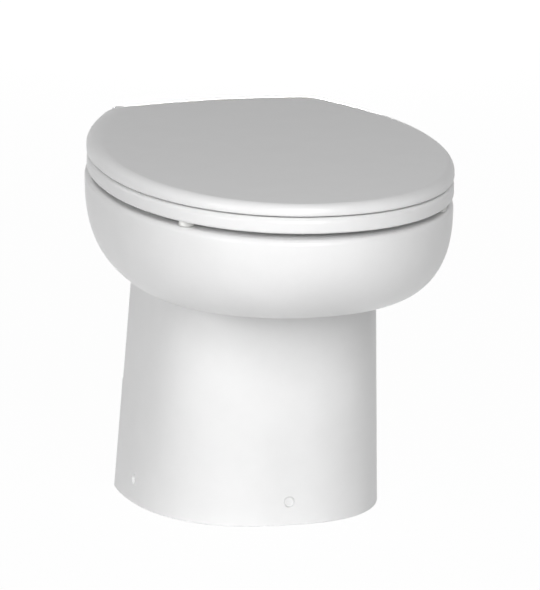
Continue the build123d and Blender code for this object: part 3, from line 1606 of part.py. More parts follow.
# Rinse hose: from the valve's outlet it loops up behind the bowl to a spud that sprays under the rim
spud_flange_y = well_rear_y(spud_height - spud_flange_radius) + well_wall + loose_clearance
spud_shoulder_y = spud_flange_y + spud_gasket_flange
hose_radius = hose_bore_radius + hose_wall
hose_loop_y = widest_y + hose_loop_reach
hose_valve_y = valve_rear_y + valve_outlet_length - hose_lap
hose_spud_y = spud_y - hose_lap


def spud_plane(y):
    """A plane across the spud, facing rearward"""
    return Plane((0, y, spud_height), x_dir=(1, 0, 0), z_dir=(0, 1, 0))


with BuildPart() as rinse_gasket:
    flange = ring_face(spud_plane(spud_flange_y), spud_flange_radius, spud_radius + running_clearance)
    extrude(flange, amount=spud_gasket_flange)
    sleeve = ring_face(
        spud_plane(spud_flange_y), spud_hole_radius - running_clearance, spud_radius + running_clearance
    )
    extrude(sleeve, amount=well_rear_y(spud_height) - spud_flange_y)
rinse_gasket.part.label = "rinse_gasket"
export_step(rinse_gasket.part, "parts/rinse_gasket.step")

with BuildPart() as rinse_spud:
    spud_inner_y = well_rear_y(spud_height) - spud_inner_reach
    extrude(ring_face(spud_plane(spud_inner_y), spud_radius, spud_bore_radius), amount=spud_y - spud_inner_y)
    extrude(ring_face(spud_plane(spud_shoulder_y), spud_flange_radius, spud_bore_radius), amount=spud_flange)
rinse_spud.part.label = "rinse_spud"
export_step(rinse_spud.part, "parts/rinse_spud.step")

with BuildPart() as rinse_hose:
    with BuildLine():
        FilletPolyline(
            (valve_x, hose_valve_y, outlet_z),
            (valve_x, hose_loop_y, outlet_z),
            (0, hose_loop_y, spud_height),
            (0, hose_spud_y, spud_height),
            radius=hose_bend_radius,
        )
    with BuildSketch(Plane((valve_x, hose_valve_y, outlet_z), x_dir=(1, 0, 0), z_dir=(0, 1, 0))):
        Circle(hose_radius)
        Circle(hose_bore_radius, mode=Mode.SUBTRACT)
    sweep()
rinse_hose.part.label = "rinse_hose"
export_step(rinse_hose.part, "parts/rinse_hose.step")

with BuildPart() as rinse_clamps:
    valve_clamp_plane = valve_rear_plane(outlet_z).offset(hose_valve_y + clamp_inset - valve_rear_y)
    extrude(clamp_face(valve_clamp_plane, hose_radius), amount=hose_clamp_width)
    spud_clamp_plane = spud_plane(hose_spud_y + clamp_inset)
    extrude(clamp_face(spud_clamp_plane, hose_radius), amount=hose_clamp_width)
rinse_clamps.part.label = "rinse_clamps"
export_step(rinse_clamps.part, "parts/rinse_clamps.step")
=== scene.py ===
from math import cos, pi, radians, sin, tan

import bmesh
import bpy
from mathutils import Matrix, Vector


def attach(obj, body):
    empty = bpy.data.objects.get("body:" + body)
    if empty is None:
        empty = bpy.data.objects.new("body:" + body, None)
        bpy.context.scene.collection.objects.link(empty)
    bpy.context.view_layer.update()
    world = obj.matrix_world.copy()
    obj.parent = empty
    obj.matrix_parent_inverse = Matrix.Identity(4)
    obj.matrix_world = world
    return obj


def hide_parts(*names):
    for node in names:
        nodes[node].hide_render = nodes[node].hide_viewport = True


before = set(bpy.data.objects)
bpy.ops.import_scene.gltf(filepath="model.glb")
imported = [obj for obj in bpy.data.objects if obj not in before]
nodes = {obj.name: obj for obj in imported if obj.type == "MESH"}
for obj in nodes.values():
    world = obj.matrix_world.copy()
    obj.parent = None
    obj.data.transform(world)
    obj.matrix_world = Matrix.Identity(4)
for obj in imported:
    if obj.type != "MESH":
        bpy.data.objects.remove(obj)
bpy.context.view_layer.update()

# Base plate: the tray that is screwed to the floor first, with lugs that the casting's side screws bite into.
# It is injection moulded in glass-filled nylon, which leaves a fine grain and a dull, slightly patchy sheen.
MM = 0.001


def linear(hex_colour):
    """An sRGB hex colour as linear red, green, blue and alpha"""
    channels = [int(hex_colour[i : i + 2], 16) / 255 for i in (1, 3, 5)]
    return [c / 12.92 if c <= 0.04045 else ((c + 0.055) / 1.055) ** 2.4 for c in channels] + [1.0]


def add_node(tree, kind, values=None, links=None, **settings):
    """Adds a node with its settings, its sockets' values and the links into it"""
    node = tree.nodes.new(kind)
    for name, value in settings.items():
        setattr(node, name, value)
    for socket, value in (values or {}).items():
        node.inputs[socket].default_value = value
    for socket, source in (links or {}).items():
        tree.links.new(source, node.inputs[socket])
    return node


def grained(name, dark, light, grain_mm, bump_mm, shader, rough, stretch=(1, 1, 1), patch_mm=24.0):
    """A material whose grain has a real size and direction, and whose colour and gloss vary in patches"""
    grain_detail, grain_roughness = 4.0, 0.6
    patch_detail, patch_roughness = 5.0, 0.55
    patch_low, patch_high = 0.35, 0.65
    material = bpy.data.materials.new(name)
    material.use_nodes = True
    tree = material.node_tree
    tree.nodes.clear()
    where = add_node(tree, "ShaderNodeTexCoord").outputs["Object"]
    drawn = add_node(tree, "ShaderNodeMapping", {"Scale": stretch}, {"Vector": where})
    values = {"Scale": 1 / (grain_mm * MM), "Detail": grain_detail, "Roughness": grain_roughness}
    grain = add_node(tree, "ShaderNodeTexNoise", values, {"Vector": drawn.outputs["Vector"]})
    values = {"Scale": 1 / (patch_mm * MM), "Detail": patch_detail, "Roughness": patch_roughness}
    patches = add_node(tree, "ShaderNodeTexNoise", values, {"Vector": where})
    values = {"From Min": patch_low, "From Max": patch_high}
    mottle = add_node(tree, "ShaderNodeMapRange", values, {"Value": patches.outputs["Fac"]})
    values = {"A": linear(dark), "B": linear(light)}
    links = {"Factor": mottle.outputs["Result"]}
    colour = add_node(tree, "ShaderNodeMix", values, links, data_type="RGBA")
    low, high = rough
    values = {"To Min": low, "To Max": high}
    gloss = add_node(tree, "ShaderNodeMapRange", values, {"Value": mottle.outputs["Result"]})
    values = {"Strength": 1.0, "Distance": bump_mm * MM}
    relief = add_node(tree, "ShaderNodeBump", values, {"Height": grain.outputs["Fac"]})
    links = {
        "Base Color": colour.outputs["Result"],
        "Roughness": gloss.outputs["Result"],
        "Normal": relief.outputs["Normal"],
    }
    surface = add_node(tree, "ShaderNodeBsdfPrincipled", shader, links)
    add_node(tree, "ShaderNodeOutputMaterial", None, {"Surface": surface.outputs["BSDF"]})
    return material


def paint(material, *node_names):
    """Gives solids that stay as they are a finish"""
    for node_name in node_names:
        data = nodes[node_name].data
        data.materials.clear()
        data.materials.append(material)


# Spark-eroded mould texture: the eye sees a fine, even stipple and a soft grey sheen on black
moulded_nylon = grained(
    "spark_textured_glass_filled_nylon", "#17181A", "#222325", 0.7, 0.03, {"IOR": 1.53}, (0.42, 0.55)
)
paint(moulded_nylon, "mounting_base")

# Pump housings: the chopper's chamber with the inlet, the volute with the outlet and feet, the plate that
# carries the shaft seal, and the rear cover. All are moulded in the same nylon and stacked on one axis.
paint(moulded_nylon, "pump_cover", "macerator_housing", "volute_housing", "seal_plate")

# Chopper: a stamped plate of round holes and a turning bar blade, both ground from stainless sheet, and the
# nut that holds the blade. Grinding leaves short fine scratches across the sheet and a bright, soft gloss.
ground_steel = grained(
    "ground_stainless_sheet", "#A9ABAD", "#C6C7C9", 0.25, 0.004, {"Metallic": 1.0}, (0.24, 0.38), (0.06, 1, 1)
)
paint(ground_steel, "chopper_plate", "chopper_blade")

# Turned parts carry rings of tool marks round their axis, too fine to see one by one, which spread highlights
turned_steel = grained(
    "turned_stainless_steel", "#AFB0B2", "#CBCCCE", 0.2, 0.003, {"Metallic": 1.0}, (0.18, 0.3), (1, 1, 6)
)
paint(turned_steel, "blade_nut", "motor_shaft")

# Impeller: five curved vanes on a disc, moulded in tough green polymer and pressed on the shaft. It comes out
# of a polished mould that has dulled, so it looks waxy with slight flow marks.
impeller_polymer = grained(
    "moulded_green_polymer", "#2B3A34", "#364740", 1.2, 0.02, {"IOR": 1.49}, (0.45, 0.6)
)
paint(impeller_polymer, "impeller")

# Seals, grommets and the duckbill valve: compression-moulded black rubber, matt with a faint bloom that
# shows as slightly paler patches.
black_rubber = grained("moulded_black_rubber", "#141414", "#1F1F20", 0.5, 0.02, {"IOR": 1.52}, (0.62, 0.8))
paint(black_rubber, "cover_seal", "shaft_seal", "pump_grommets", "joker_valve", "rinse_gasket")

# Motor: a deep-drawn steel can with powder paint, between a die-cast flange and end cap, on two long bolts.
# Inside are ferrite arcs, a laminated core, a copper commutator and carbon brushes in bronze bushes.

# Powder paint melts to a faint orange peel, so the black can has soft, slightly broken highlights
powder_paint = grained(
    "powder_painted_steel", "#1B1C1F", "#26272B", 0.8, 0.02, {"IOR": 1.5, "Coat Weight": 0.25}, (0.32, 0.42)
)
# Die-cast metal keeps the mould's dull, cloudy skin
cast_aluminium = grained(
    "die_cast_aluminium", "#8E9092", "#A9ABAD", 0.6, 0.03, {"Metallic": 1.0}, (0.42, 0.58)
)
# Sintered bronze is a matt brown with fine pores, and pressed ferrite a dead grey-black
bronze = grained("sintered_bronze", "#7A5A32", "#93703F", 0.3, 0.02, {"Metallic": 1.0}, (0.45, 0.6))
ferrite = grained("pressed_ferrite", "#232325", "#2E2E31", 0.4, 0.03, {"IOR": 2.0}, (0.6, 0.75))
# The core's stamped sheets show as fine lines round it
laminations = grained(
    "stamped_core_steel", "#55565A", "#6B6C70", 0.5, 0.02, {"Metallic": 1.0}, (0.4, 0.55), (0.05, 1, 0.05)
)
# Copper is skimmed in a lathe, which leaves it bright with fine rings, and pressed carbon is a soft black
copper = grained(
    "skimmed_copper", "#9A5B3C", "#B97350", 0.25, 0.004, {"Metallic": 1.0}, (0.25, 0.4), (1, 5, 1)
)
carbon = grained("pressed_carbon", "#1C1C1D", "#282829", 0.3, 0.01, {"IOR": 1.9}, (0.5, 0.65))
paint(powder_paint, "motor_can")
paint(cast_aluminium, "motor_flange", "motor_end_cap")
paint(bronze, "motor_bushes")
paint(ferrite, "motor_magnets")
paint(laminations, "armature_core")
paint(copper, "commutator")
paint(carbon, "motor_brushes")
paint(turned_steel, "motor_bolts")
paint(moulded_nylon, "cable_gland")

# Housing bolts, nuts and foot screws: stainless socket-head bolts that clamp the stack through its four ears,
# hexagon nuts in front of the motor flange, and screws through rubber grommets into the base plate.
sharp_angle = radians(35)


def disc(radius, count=48):
    """A circle as points"""
    return [(radius * sin(2 * pi * i / count), -radius * cos(2 * pi * i / count)) for i in range(count)]


def hexagon(across_corners, count=48):
    """A hexagon as points, as many as a circle has"""
    points = []
    for step in range(count):
        turn = 2 * pi * step / count
        reach = cos(pi / 6) / cos(turn % (pi / 3) - pi / 6)
        points.append((across_corners * reach * sin(turn), -across_corners * reach * cos(turn)))
    return points


def level(points, height):
    """A plan outline at a height"""
    return [(x, y, height) for x, y in points]


def skin(name, levels, material, ring=False):
    """A smooth skin through outlines of equal counts, in millimetres, closed at its ends or as a ring"""
    count = len(levels[0])
    made = bmesh.new()
    rows = [[made.verts.new([v * MM for v in point]) for point in points] for points in levels]
    following = rows[1:] + rows[:1] if ring else rows[1:]
    for low, high in zip(rows, following):
        for step in range(count):
            after = (step + 1) % count
            made.faces.new((low[step], low[after], high[after], high[step]))
    if not ring:
        made.faces.new(rows[0][::-1])
        made.faces.new(rows[-1])
    bmesh.ops.recalc_face_normals(made, faces=made.faces)
    data = bpy.data.meshes.new(name)
    made.to_mesh(data)
    made.free()
    data.shade_smooth()
    data.set_sharp_from_angle(angle=sharp_angle)
    data.materials.append(material)
    piece = bpy.data.objects.new(name, data)
    bpy.context.scene.collection.objects.link(piece)
    return piece


def settle(piece):
    """Turns a piece with a modifier into a plain mesh with its sharp edges marked"""
    seen = piece.evaluated_get(bpy.context.evaluated_depsgraph_get())
    data = bpy.data.meshes.new_from_object(seen)
    piece.modifiers.clear()
    piece.data = data
    data.shade_smooth()
    data.set_sharp_from_angle(angle=sharp_angle)


def start_tree(name, sizes):
    """A geometry tree with a named input for each size"""
    tree = bpy.data.node_groups.new(name, "GeometryNodeTree")
    tree.interface.new_socket("Geometry", in_out="INPUT", socket_type="NodeSocketGeometry")
    for size, kind in sizes.items():
        tree.interface.new_socket(size, in_out="INPUT", socket_type="NodeSocket" + kind)
    tree.interface.new_socket("Geometry", in_out="OUTPUT", socket_type="NodeSocketGeometry")
    return tree, add_node(tree, "NodeGroupInput").outputs


def end_tree(tree, source, material):
    """Ends a geometry tree: its instances become a mesh of one material"""
    real = add_node(tree, "GeometryNodeRealizeInstances", None, {"Geometry": source})
    made = add_node(tree, "GeometryNodeSetMaterial", {"Material": material}, {"Geometry": real.outputs[0]})
    add_node(tree, "NodeGroupOutput", None, {"Geometry": made.outputs[0]})


def grow(piece, tree, sizes):
    """Runs a geometry tree on a piece with its sizes and keeps the mesh"""
    rule = piece.modifiers.new(tree.name, "NODES")
    rule.node_group = tree
    for socket in tree.interface.items_tree:
        if socket.in_out == "INPUT" and socket.name in sizes:
            rule[socket.identifier] = sizes[socket.name]
    settle(piece)


def ring_tree(name, material):
    """Repeats a piece round a circle, turned to face outward"""
    tree, given = start_tree(name, {"Count": "Int", "Circle radius": "Float"})
    ring = add_node(
        tree, "GeometryNodeMeshCircle", None, {"Vertices": given["Count"], "Radius": given["Circle radius"]}
    )
    step = add_node(tree, "ShaderNodeMath", {0: 2 * pi}, {1: given["Count"]}, operation="DIVIDE")
    index = add_node(tree, "GeometryNodeInputIndex")
    turn = add_node(
        tree, "ShaderNodeMath", None, {0: index.outputs[0], 1: step.outputs[0]}, operation="MULTIPLY"
    )
    euler = add_node(tree, "ShaderNodeCombineXYZ", None, {"Z": turn.outputs[0]})
    links = {"Points": ring.outputs[0], "Instance": given["Geometry"], "Rotation": euler.outputs[0]}
    end_tree(tree, add_node(tree, "GeometryNodeInstanceOnPoints", None, links).outputs[0], material)
    return tree


def grid_tree(name, material):
    """Repeats a piece at the four corners of a rectangle"""
    tree, given = start_tree(name, {"Spacing across": "Float", "Spacing along": "Float"})
    sizes = {"Size X": given["Spacing across"], "Size Y": given["Spacing along"]}
    grid = add_node(tree, "GeometryNodeMeshGrid", {"Vertices X": 2, "Vertices Y": 2}, sizes)
    links = {"Points": grid.outputs[0], "Instance": given["Geometry"]}
    end_tree(tree, add_node(tree, "GeometryNodeInstanceOnPoints", None, links).outputs[0], material)
    return tree


def fastener_levels(profile):
    """Levels from pairs of an outline and its height"""
    return [level(points, height) for points, height in profile]


def socket_head(name, head_radius, head, shank_radius, shank, chamfer=0.5):
    """A socket-head screw along +Z, from the end of its shank to its head, whose seat is at zero"""
    key_share, floor_share, key_chamfer = 0.55, 0.4, 0.2
    key = head_radius * key_share
    profile = [(disc(shank_radius - chamfer), -shank), (disc(shank_radius), chamfer - shank)]
    profile += [(disc(shank_radius), 0), (disc(head_radius), 0), (disc(head_radius), head - chamfer)]
    profile += [(disc(head_radius - chamfer), head), (hexagon(key + key_chamfer), head)]
    profile += [(hexagon(key), head - key_chamfer), (hexagon(key), head * floor_share)]
    return skin(name, fastener_levels(profile), turned_steel)


def place(piece, centre, along=(0, 0, 1), turn=0.0):
    """Moves a piece's mesh from the origin: a turn about +Z, then +Z along a direction, then to its centre"""
    aim = Vector((0, 0, 1)).rotation_difference(Vector(along)).to_matrix().to_4x4()
    piece.data.transform(Matrix.Translation(Vector(centre) * MM) @ aim @ Matrix.Rotation(turn, 4, "Z"))


def mount(piece, body, slot, *replaced):
    """Hands a piece over to its body and hides the solids that it stands for; its record slot is not used"""
    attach(piece, body)
    if replaced:
        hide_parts(*replaced)


pump_z = 64.0
rear_cover_y, nut_face_y = 128.75, 24.75
ear_ring = {"Count": 4, "Circle radius": 51.0 * MM}
ear_turn = radians(45)
round_axis = ring_tree("fasteners_round_an_axis", turned_steel)
long_bolts = socket_head("long_socket_bolts", head_radius=4.5, head=3.5, shank_radius=2.4, shank=110.0)
grow(long_bolts, round_axis, ear_ring)
place(long_bolts, (0, rear_cover_y, pump_z), (0, 1, 0), ear_turn)
mount(long_bolts, "toilet", "stainless_steel", "housing_bolts")

nut_bore, nut_foot, nut_corner, nut_crown = 2.6, 4.2, 4.6, 4.1
nut_height, nut_chamfer = 4.0, 0.4
nut = [(disc(nut_bore), 0), (disc(nut_foot), 0), (hexagon(nut_corner), nut_chamfer)]
nut += [(hexagon(nut_corner), nut_height - nut_chamfer), (disc(nut_crown), nut_height)]
nut += [(disc(nut_bore), nut_height)]
housing_nuts = skin("hexagon_nuts", fastener_levels(nut), turned_steel, ring=True)
grow(housing_nuts, round_axis, ear_ring)
place(housing_nuts, (0, nut_face_y, pump_z), (0, -1, 0), ear_turn)
mount(housing_nuts, "toilet", "stainless_steel", "housing_nuts")

foot_centre_y, foot_top = 55.75, 18.0
foot_spacing = {"Spacing across": 100 * MM, "Spacing along": 18 * MM}
foot_screws = socket_head("foot_socket_screws", head_radius=5.0, head=3.0, shank_radius=2.4, shank=17.0)
grow(foot_screws, grid_tree("screws_at_four_corners", turned_steel), foot_spacing)
place(foot_screws, (0, foot_centre_y, foot_top))
mount(foot_screws, "toilet", "stainless_steel", "foot_screws")

# Discharge: a moulded elbow, the duckbill valve and the owner's hose spigot, in the housings' nylon, drawn
# together by pan-head screws through both pipe flanges.
paint(moulded_nylon, "discharge_elbow", "discharge_spigot")
paint(turned_steel, "union_screws")

# Rinse valve: a nylon body, an epoxy-cast coil over a drawn steel guide, and tinned tabs for the two leads,
# on an angle bracket folded from ground stainless sheet.

# The epoxy is poured and cured in a smooth mould, so the coil has an even, slightly glossy black
cast_epoxy = grained(
    "cast_coil_epoxy", "#1A1B1E", "#232428", 2.5, 0.02, {"IOR": 1.55, "Coat Weight": 0.2}, (0.25, 0.36)
)
# Tin is dipped on, so the tabs are pale, with soft and slightly cloudy reflections
tinned_bronze = grained(
    "tinned_bronze_tabs", "#A9A294", "#BDB7A8", 0.3, 0.004, {"Metallic": 1.0}, (0.22, 0.34)
)
paint(moulded_nylon, "valve_body")
paint(cast_epoxy, "valve_coil")
paint(tinned_bronze, "coil_terminals")
paint(ground_steel, "valve_bracket")
paint(turned_steel, "valve_guide", "valve_plunger", "plunger_spring", "coil_nut", "bracket_screws")

# Bowl and pedestal: one slip-cast piece of vitreous china, glazed all over but for the hollow inside and the
# foot that it was fired on. One plan rule shapes every level: a squared oval in front, sides that taper
# behind the widest line, and a straight rear.
rim_height, neck_height, widest_y = 341.5, 238.0, -1.25
bowl_half_width, bowl_front, bowl_rear, bowl_rear_half = 178.5, -255.75, 255.75, 108.0
side_inset, front_inset, rear_inset = 60.0, 115.0, 105.5
side_power, front_power, depth_power = 2.5, 2.0, 0.9
plan_powers, rear_corner = (2.12, 2.25), 14.0
rim_round, crease_round, foot_round = 6.0, 5.0, 1.5
china_wall = 10.0
# The pedestal's widths and reaches at the floor, and how far each has changed at the neck
neck_overlap = 6.0
foot_width, neck_narrower = 261.0, 35.6
foot_front_reach, neck_further = 75.0, 14.4
foot_middle_reach, neck_nearer = 98.0, 73.8
foot_rear_width, neck_rear_narrower = 254.0, 36.0
pedestal_rear_reach = 141.2
pedestal_powers, pedestal_corner = (2.45, 2.0), 3.0
pedestal_step, pedestal_steps = 6.0, 38
under_shares = (0.25, 0.5, 0.75)
# Points along half a plan: its front oval, side, corner and rear
china_steps = (40, 30, 8, 26)


def outline(half_width, front, middle, rear, rear_half_width, powers, corner, crown=0.0):
    """A closed plan outline, with the same number of points at every level and inset"""
    oval_steps, side_steps, corner_steps, rear_steps = china_steps
    oval_power, taper_power = powers
    taper = half_width - rear_half_width
    half = []
    for step in range(oval_steps):
        angle = step * pi / 2 / oval_steps
        x = half_width * sin(angle) ** (2 / oval_power)
        half.append((x, middle - (middle - front) * cos(angle) ** (2 / oval_power)))
    run = Vector((-taper * taper_power, rear - middle)).normalized()
    back = Vector((-rear_half_width, 2 * crown)).normalized()
    turn = run.angle(back)
    cut = corner * tan(turn / 2)
    start = Vector((rear_half_width, rear)) - run * cut
    centre = start + corner * Vector((-run.y, run.x))
    side_share = (start.y - middle) / (rear - middle)
    for step in range(side_steps):
        share = side_share * step / side_steps
        half.append((half_width - taper * share**taper_power, middle + (rear - middle) * share))
    for step in range(corner_steps + 1):
        half.append(tuple(centre + Matrix.Rotation(turn * step / corner_steps, 2) @ (start - centre)))
    last_x, last_y = half[-1]
    for step in range(1, rear_steps + 1):
        share = 1 - step / rear_steps
        half.append((last_x * share, last_y + (rear + crown - last_y) * (1 - share**2)))
    return half + [(-x, y) for x, y in half[-2:0:-1]]


def egg(half_width, front, middle, rear, count=96):
    """A plan outline of two half ellipses that meet at its middle"""
    points = []
    for step in range(count):
        angle = 2 * pi * step / count
        reach = middle - front if cos(angle) > 0 else rear - middle
        points.append((half_width * sin(angle), middle - reach * cos(angle)))
    return points


def bowl_plan(inset, side=0.0, front=0.0):
    """The bowl's plan: drawn in all round by an inset, and at its sides and front by shares of their depth"""
    return outline(
        bowl_half_width - side * side_inset - inset,
        bowl_front + front * front_inset + inset,
        widest_y,
        bowl_rear - side * rear_inset - inset,
        bowl_rear_half - inset,
        plan_powers,
        rear_corner - inset,
    )


def pedestal_plan(height, inset=0.0, rear_extra=0.0):
    """The pedestal's plan at a height: it narrows a little from the floor to the neck"""
    share = height / (neck_height + neck_overlap)
    return outline(
        (foot_width - neck_narrower * share) / 2 - inset,
        widest_y - foot_front_reach - neck_further * share + inset,
        widest_y + foot_middle_reach - neck_nearer * share,
        widest_y + pedestal_rear_reach + rear_extra,
        (foot_rear_width - neck_rear_narrower * share) / 2 - inset,
        pedestal_powers,
        pedestal_corner,
    )


def quarter(steps, first=0):
    """Angles over a quarter turn"""
    return [step * pi / 2 / steps for step in range(first, steps + 1)]


def between(first, last, shares):
    """Levels that lie between two levels"""
    return [[tuple(Vector(a).lerp(Vector(b), share)) for a, b in zip(first, last)] for share in shares]


# What each point of the bowl's side carries into its tree
side_layers = (("depth", "FLOAT"), ("rim", "FLOAT_VECTOR"), ("neck", "FLOAT_VECTOR"))


def bowl_side_tree(material):
    """Draws the levels between rim and neck: each point goes from its rim place to its neck place by the
    share that an oval profile gives at its depth, one power for the sides and rear and one for the front"""
    sizes = {name: "Float" for name in ("Top", "Neck", "Middle", "Side power", "Front power")}
    tree, given = start_tree("bowl_side_rule", sizes)
    stored = {}
    for name, kind in side_layers:
        node = add_node(tree, "GeometryNodeInputNamedAttribute", {"Name": name}, data_type=kind)
        stored[name] = node.outputs[0]
    depth = stored["depth"]
    rim_at = add_node(tree, "ShaderNodeSeparateXYZ", None, {0: stored["rim"]}).outputs
    neck_at = add_node(tree, "ShaderNodeSeparateXYZ", None, {0: stored["neck"]}).outputs
    shares = {}
    for side in ("Side power", "Front power"):
        raised = add_node(tree, "ShaderNodeMath", None, {0: depth, 1: given[side]}, operation="POWER")
        left = add_node(tree, "ShaderNodeMath", {0: 1.0}, {1: raised.outputs[0]}, operation="SUBTRACT")
        root = add_node(tree, "ShaderNodeMath", None, {0: left.outputs[0]}, operation="SQRT")
        share = add_node(tree, "ShaderNodeMath", {0: 1.0}, {1: root.outputs[0]}, operation="SUBTRACT")
        shares[side] = share.outputs[0]
    behind = add_node(
        tree, "ShaderNodeMath", None, {0: rim_at["Y"], 1: given["Middle"]}, operation="GREATER_THAN"
    )
    links = {"Factor": behind.outputs[0], "A": shares["Front power"], "B": shares["Side power"]}
    length_share = add_node(tree, "ShaderNodeMix", None, links)
    ways = {
        "X": (shares["Side power"], rim_at["X"], neck_at["X"]),
        "Y": (length_share.outputs[0], rim_at["Y"], neck_at["Y"]),
        "Z": (depth, given["Top"], given["Neck"]),
    }
    links = {}
    for axis, (share, start, end) in ways.items():
        way = add_node(tree, "ShaderNodeMix", None, {"Factor": share, "A": start, "B": end})
        links[axis] = way.outputs[0]
    drawn = add_node(tree, "ShaderNodeCombineXYZ", None, links)
    on_side = add_node(tree, "ShaderNodeMath", {1: 0.0}, {0: depth}, operation="GREATER_THAN")
    links = {"Geometry": given["Geometry"], "Selection": on_side.outputs[0], "Position": drawn.outputs[0]}
    end_tree(tree, add_node(tree, "GeometryNodeSetPosition", None, links).outputs[0], material)
    return tree


def casting_skin(material, side_levels=44):
    """The outside of the casting: the rim's round, the ruled bowl side, the underside, crease and pedestal"""
    rim = [
        level(bowl_plan(rim_round * (1 - sin(a))), rim_height - rim_round * (1 - cos(a))) for a in quarter(8)
    ]
    depths = [sin(step * pi / 2 / side_levels) ** depth_power for step in range(1, side_levels + 1)]
    neck_plan = level(bowl_plan(0, 1, 1), neck_height)
    crease = []
    for angle in quarter(7):
        height = neck_height - crease_round * (1 - cos(angle))
        crease.append(level(pedestal_plan(height, -crease_round * (1 - sin(angle))), height))
    under = between(neck_plan, crease[0], under_shares)
    top = neck_height - crease_round
    heights = [top - pedestal_step * step for step in range(1, pedestal_steps + 1)]
    pedestal = [level(pedestal_plan(height), height) for height in heights]
    foot = [
        level(pedestal_plan(0, foot_round * (1 - cos(a))), foot_round * (1 - sin(a))) for a in quarter(4)
    ]
    levels = rim + [rim[-1]] * (side_levels - 1) + [neck_plan] + under + crease + pedestal + foot
    piece = skin("casting", levels, material)
    count = len(rim[-1])
    first = len(rim) * count
    layers = {}
    for name, kind in side_layers:
        layers[name] = piece.data.attributes.new(name, kind, "POINT")
    for step, depth in enumerate(depths):
        for index in range(count):
            vertex = first + step * count + index
            layers["depth"].data[vertex].value = depth
            layers["rim"].data[vertex].vector = Vector(rim[-1][index]) * MM
            layers["neck"].data[vertex].vector = Vector(neck_plan[index]) * MM
    sizes = {"Top": (rim_height - rim_round) * MM, "Neck": neck_height * MM, "Middle": widest_y * MM}
    sizes |= {"Side power": side_power, "Front power": front_power}
    grow(piece, bowl_side_tree(material), sizes)
    for name in layers:
        piece.data.attributes.remove(piece.data.attributes[name])
    return piece


def carve(piece, tool, operation="DIFFERENCE"):
    """Cuts a tool out of a piece, or joins it on, and throws the tool away"""
    change = piece.modifiers.new("carve", "BOOLEAN")
    change.object = tool
    change.operation = operation
    change.solver = "EXACT"
    change.material_mode = "TRANSFER"
    settle(piece)
    bpy.data.objects.remove(tool)


# The well's width and front at shares of its depth, from its top down to the sump
well_shares = [
    (0.0, 1.0, 1.0),
    (0.2, 0.938, 0.963),
    (0.38, 0.726, 0.81),
    (0.47, 0.566, 0.64),
    (0.55, 0.425, 0.47),
    (0.75, 0.195, 0.22),
    (1.0, 0.0, 0.0),
]
inlet_y = 99.75
well_top, sump_height, shell_foot, horn_middle, horn_bottom = 317.5, 165.0, 156.0, 140.0, 125.0
well_steps = 32
well_half_width, well_front, well_rear = 143.0, -217.75, 121.75
sump_radius, horn_radius, horn_bore = 30.0, 22.5, 18.0
sump_round = 6.0
shell_wall = 9.0
shell_top, shell_round_across, shell_round_up, horn_fillet = 160.0, 3.0, 1.5, 3.0
opening_half_width, opening_front, opening_rear = 131.0, -206.75, 109.75
opening_round, rim_flare, opening_ledge, ledge_round = 4.0, 1.0, 330.0, 2.0
hollow_heights = (-2.0, 57.0, 115.0, 172.0, 228.0)
service_half_width, service_top, service_round, service_front = 97.0, 321.5, 10.0, 98.75
step_half_width, step_front, step_rear, step_bottom, step_clearance = 140.0, 134.95, 160.0, 115.0, 0.05
deck_hole, spud_hole, screw_hole, cap_recess = 5.5, 10.0, 2.9, 5.8
deck_start, deck_depth = 2.0, 24.0
spud_start_y, spud_depth = 120.0, 30.0
cap_recess_depth = 5.0
cut_overrun, horn_overrun, wall_overrun, behind_all = 4.0, 3.0, 2.5, 360.0
hinge_x, hinge_y = 77.5, 238.15
spud_z = 293.0
front_fixing_y, side_fixing_x, side_fixing_y, fixing_z = -77.75, 127.9, 59.75, 25.4
fixings = [
    ((0, front_fixing_y, fixing_z), (0, -1, 0)),
    ((side_fixing_x, side_fixing_y, fixing_z), (1, 0, 0)),
    ((-side_fixing_x, side_fixing_y, fixing_z), (-1, 0, 0)),
]


def eased(column, share):
    """A smooth curve through one column of the well's shape"""
    place_at = max(i for i in range(len(well_shares) - 1) if well_shares[i][0] <= share)
    before, here = well_shares[max(place_at - 1, 0)], well_shares[place_at]
    there, after = well_shares[place_at + 1], well_shares[min(place_at + 2, len(well_shares) - 1)]
    run = there[0] - here[0]
    t = (share - here[0]) / run
    slope_here = (there[column] - before[column]) / (there[0] - before[0]) * run
    slope_there = (after[column] - here[column]) / (after[0] - here[0]) * run
    risen = here[column] + (there[column] - here[column]) * (3 * t**2 - 2 * t**3)
    return risen + slope_here * (t**3 - 2 * t**2 + t) + slope_there * (t**3 - t**2)


def well_level(share, wall=0.0):
    """One level of the well, or of the wall round it"""
    rear = well_rear + (inlet_y + sump_radius - well_rear) * share + wall
    front = inlet_y - sump_radius + (well_front - inlet_y + sump_radius) * eased(2, share) - wall
    half_width = sump_radius + (well_half_width - sump_radius) * eased(1, share) + wall
    height = well_top - share * (well_top - sump_height)
    return level(egg(half_width, front, (front + rear) / 2, rear), height)


def round_level(radius, height):
    """A round level below the well"""
    return level(egg(radius, inlet_y - radius, inlet_y, inlet_y + radius), height)


def opening_level(flare, height):
    """A level of the opening inside the rim, wider by a flare"""
    reach = egg(opening_half_width + flare, opening_front - flare, widest_y, opening_rear + flare)
    return level(reach, height)


def drill(piece, centre, along, radius, length, material):
    """Drills a round hole from a place along a direction"""
    tool = skin("drill", [level(disc(radius), 0), level(disc(radius), length)], material)
    place(tool, centre, along)
    carve(piece, tool)


def service_arch():
    """The service opening's outline in X and Z: open at the floor, with rounded top corners"""
    half, top, turn = service_half_width, service_top, service_round
    arch = [(-half, -cut_overrun), (half, -cut_overrun)]
    arch += [(half - turn * (1 - cos(a)), top - turn * (1 - sin(a))) for a in quarter(6)]
    return arch + [(-half + turn * (1 - sin(a)), top - turn * (1 - cos(a))) for a in quarter(6)]


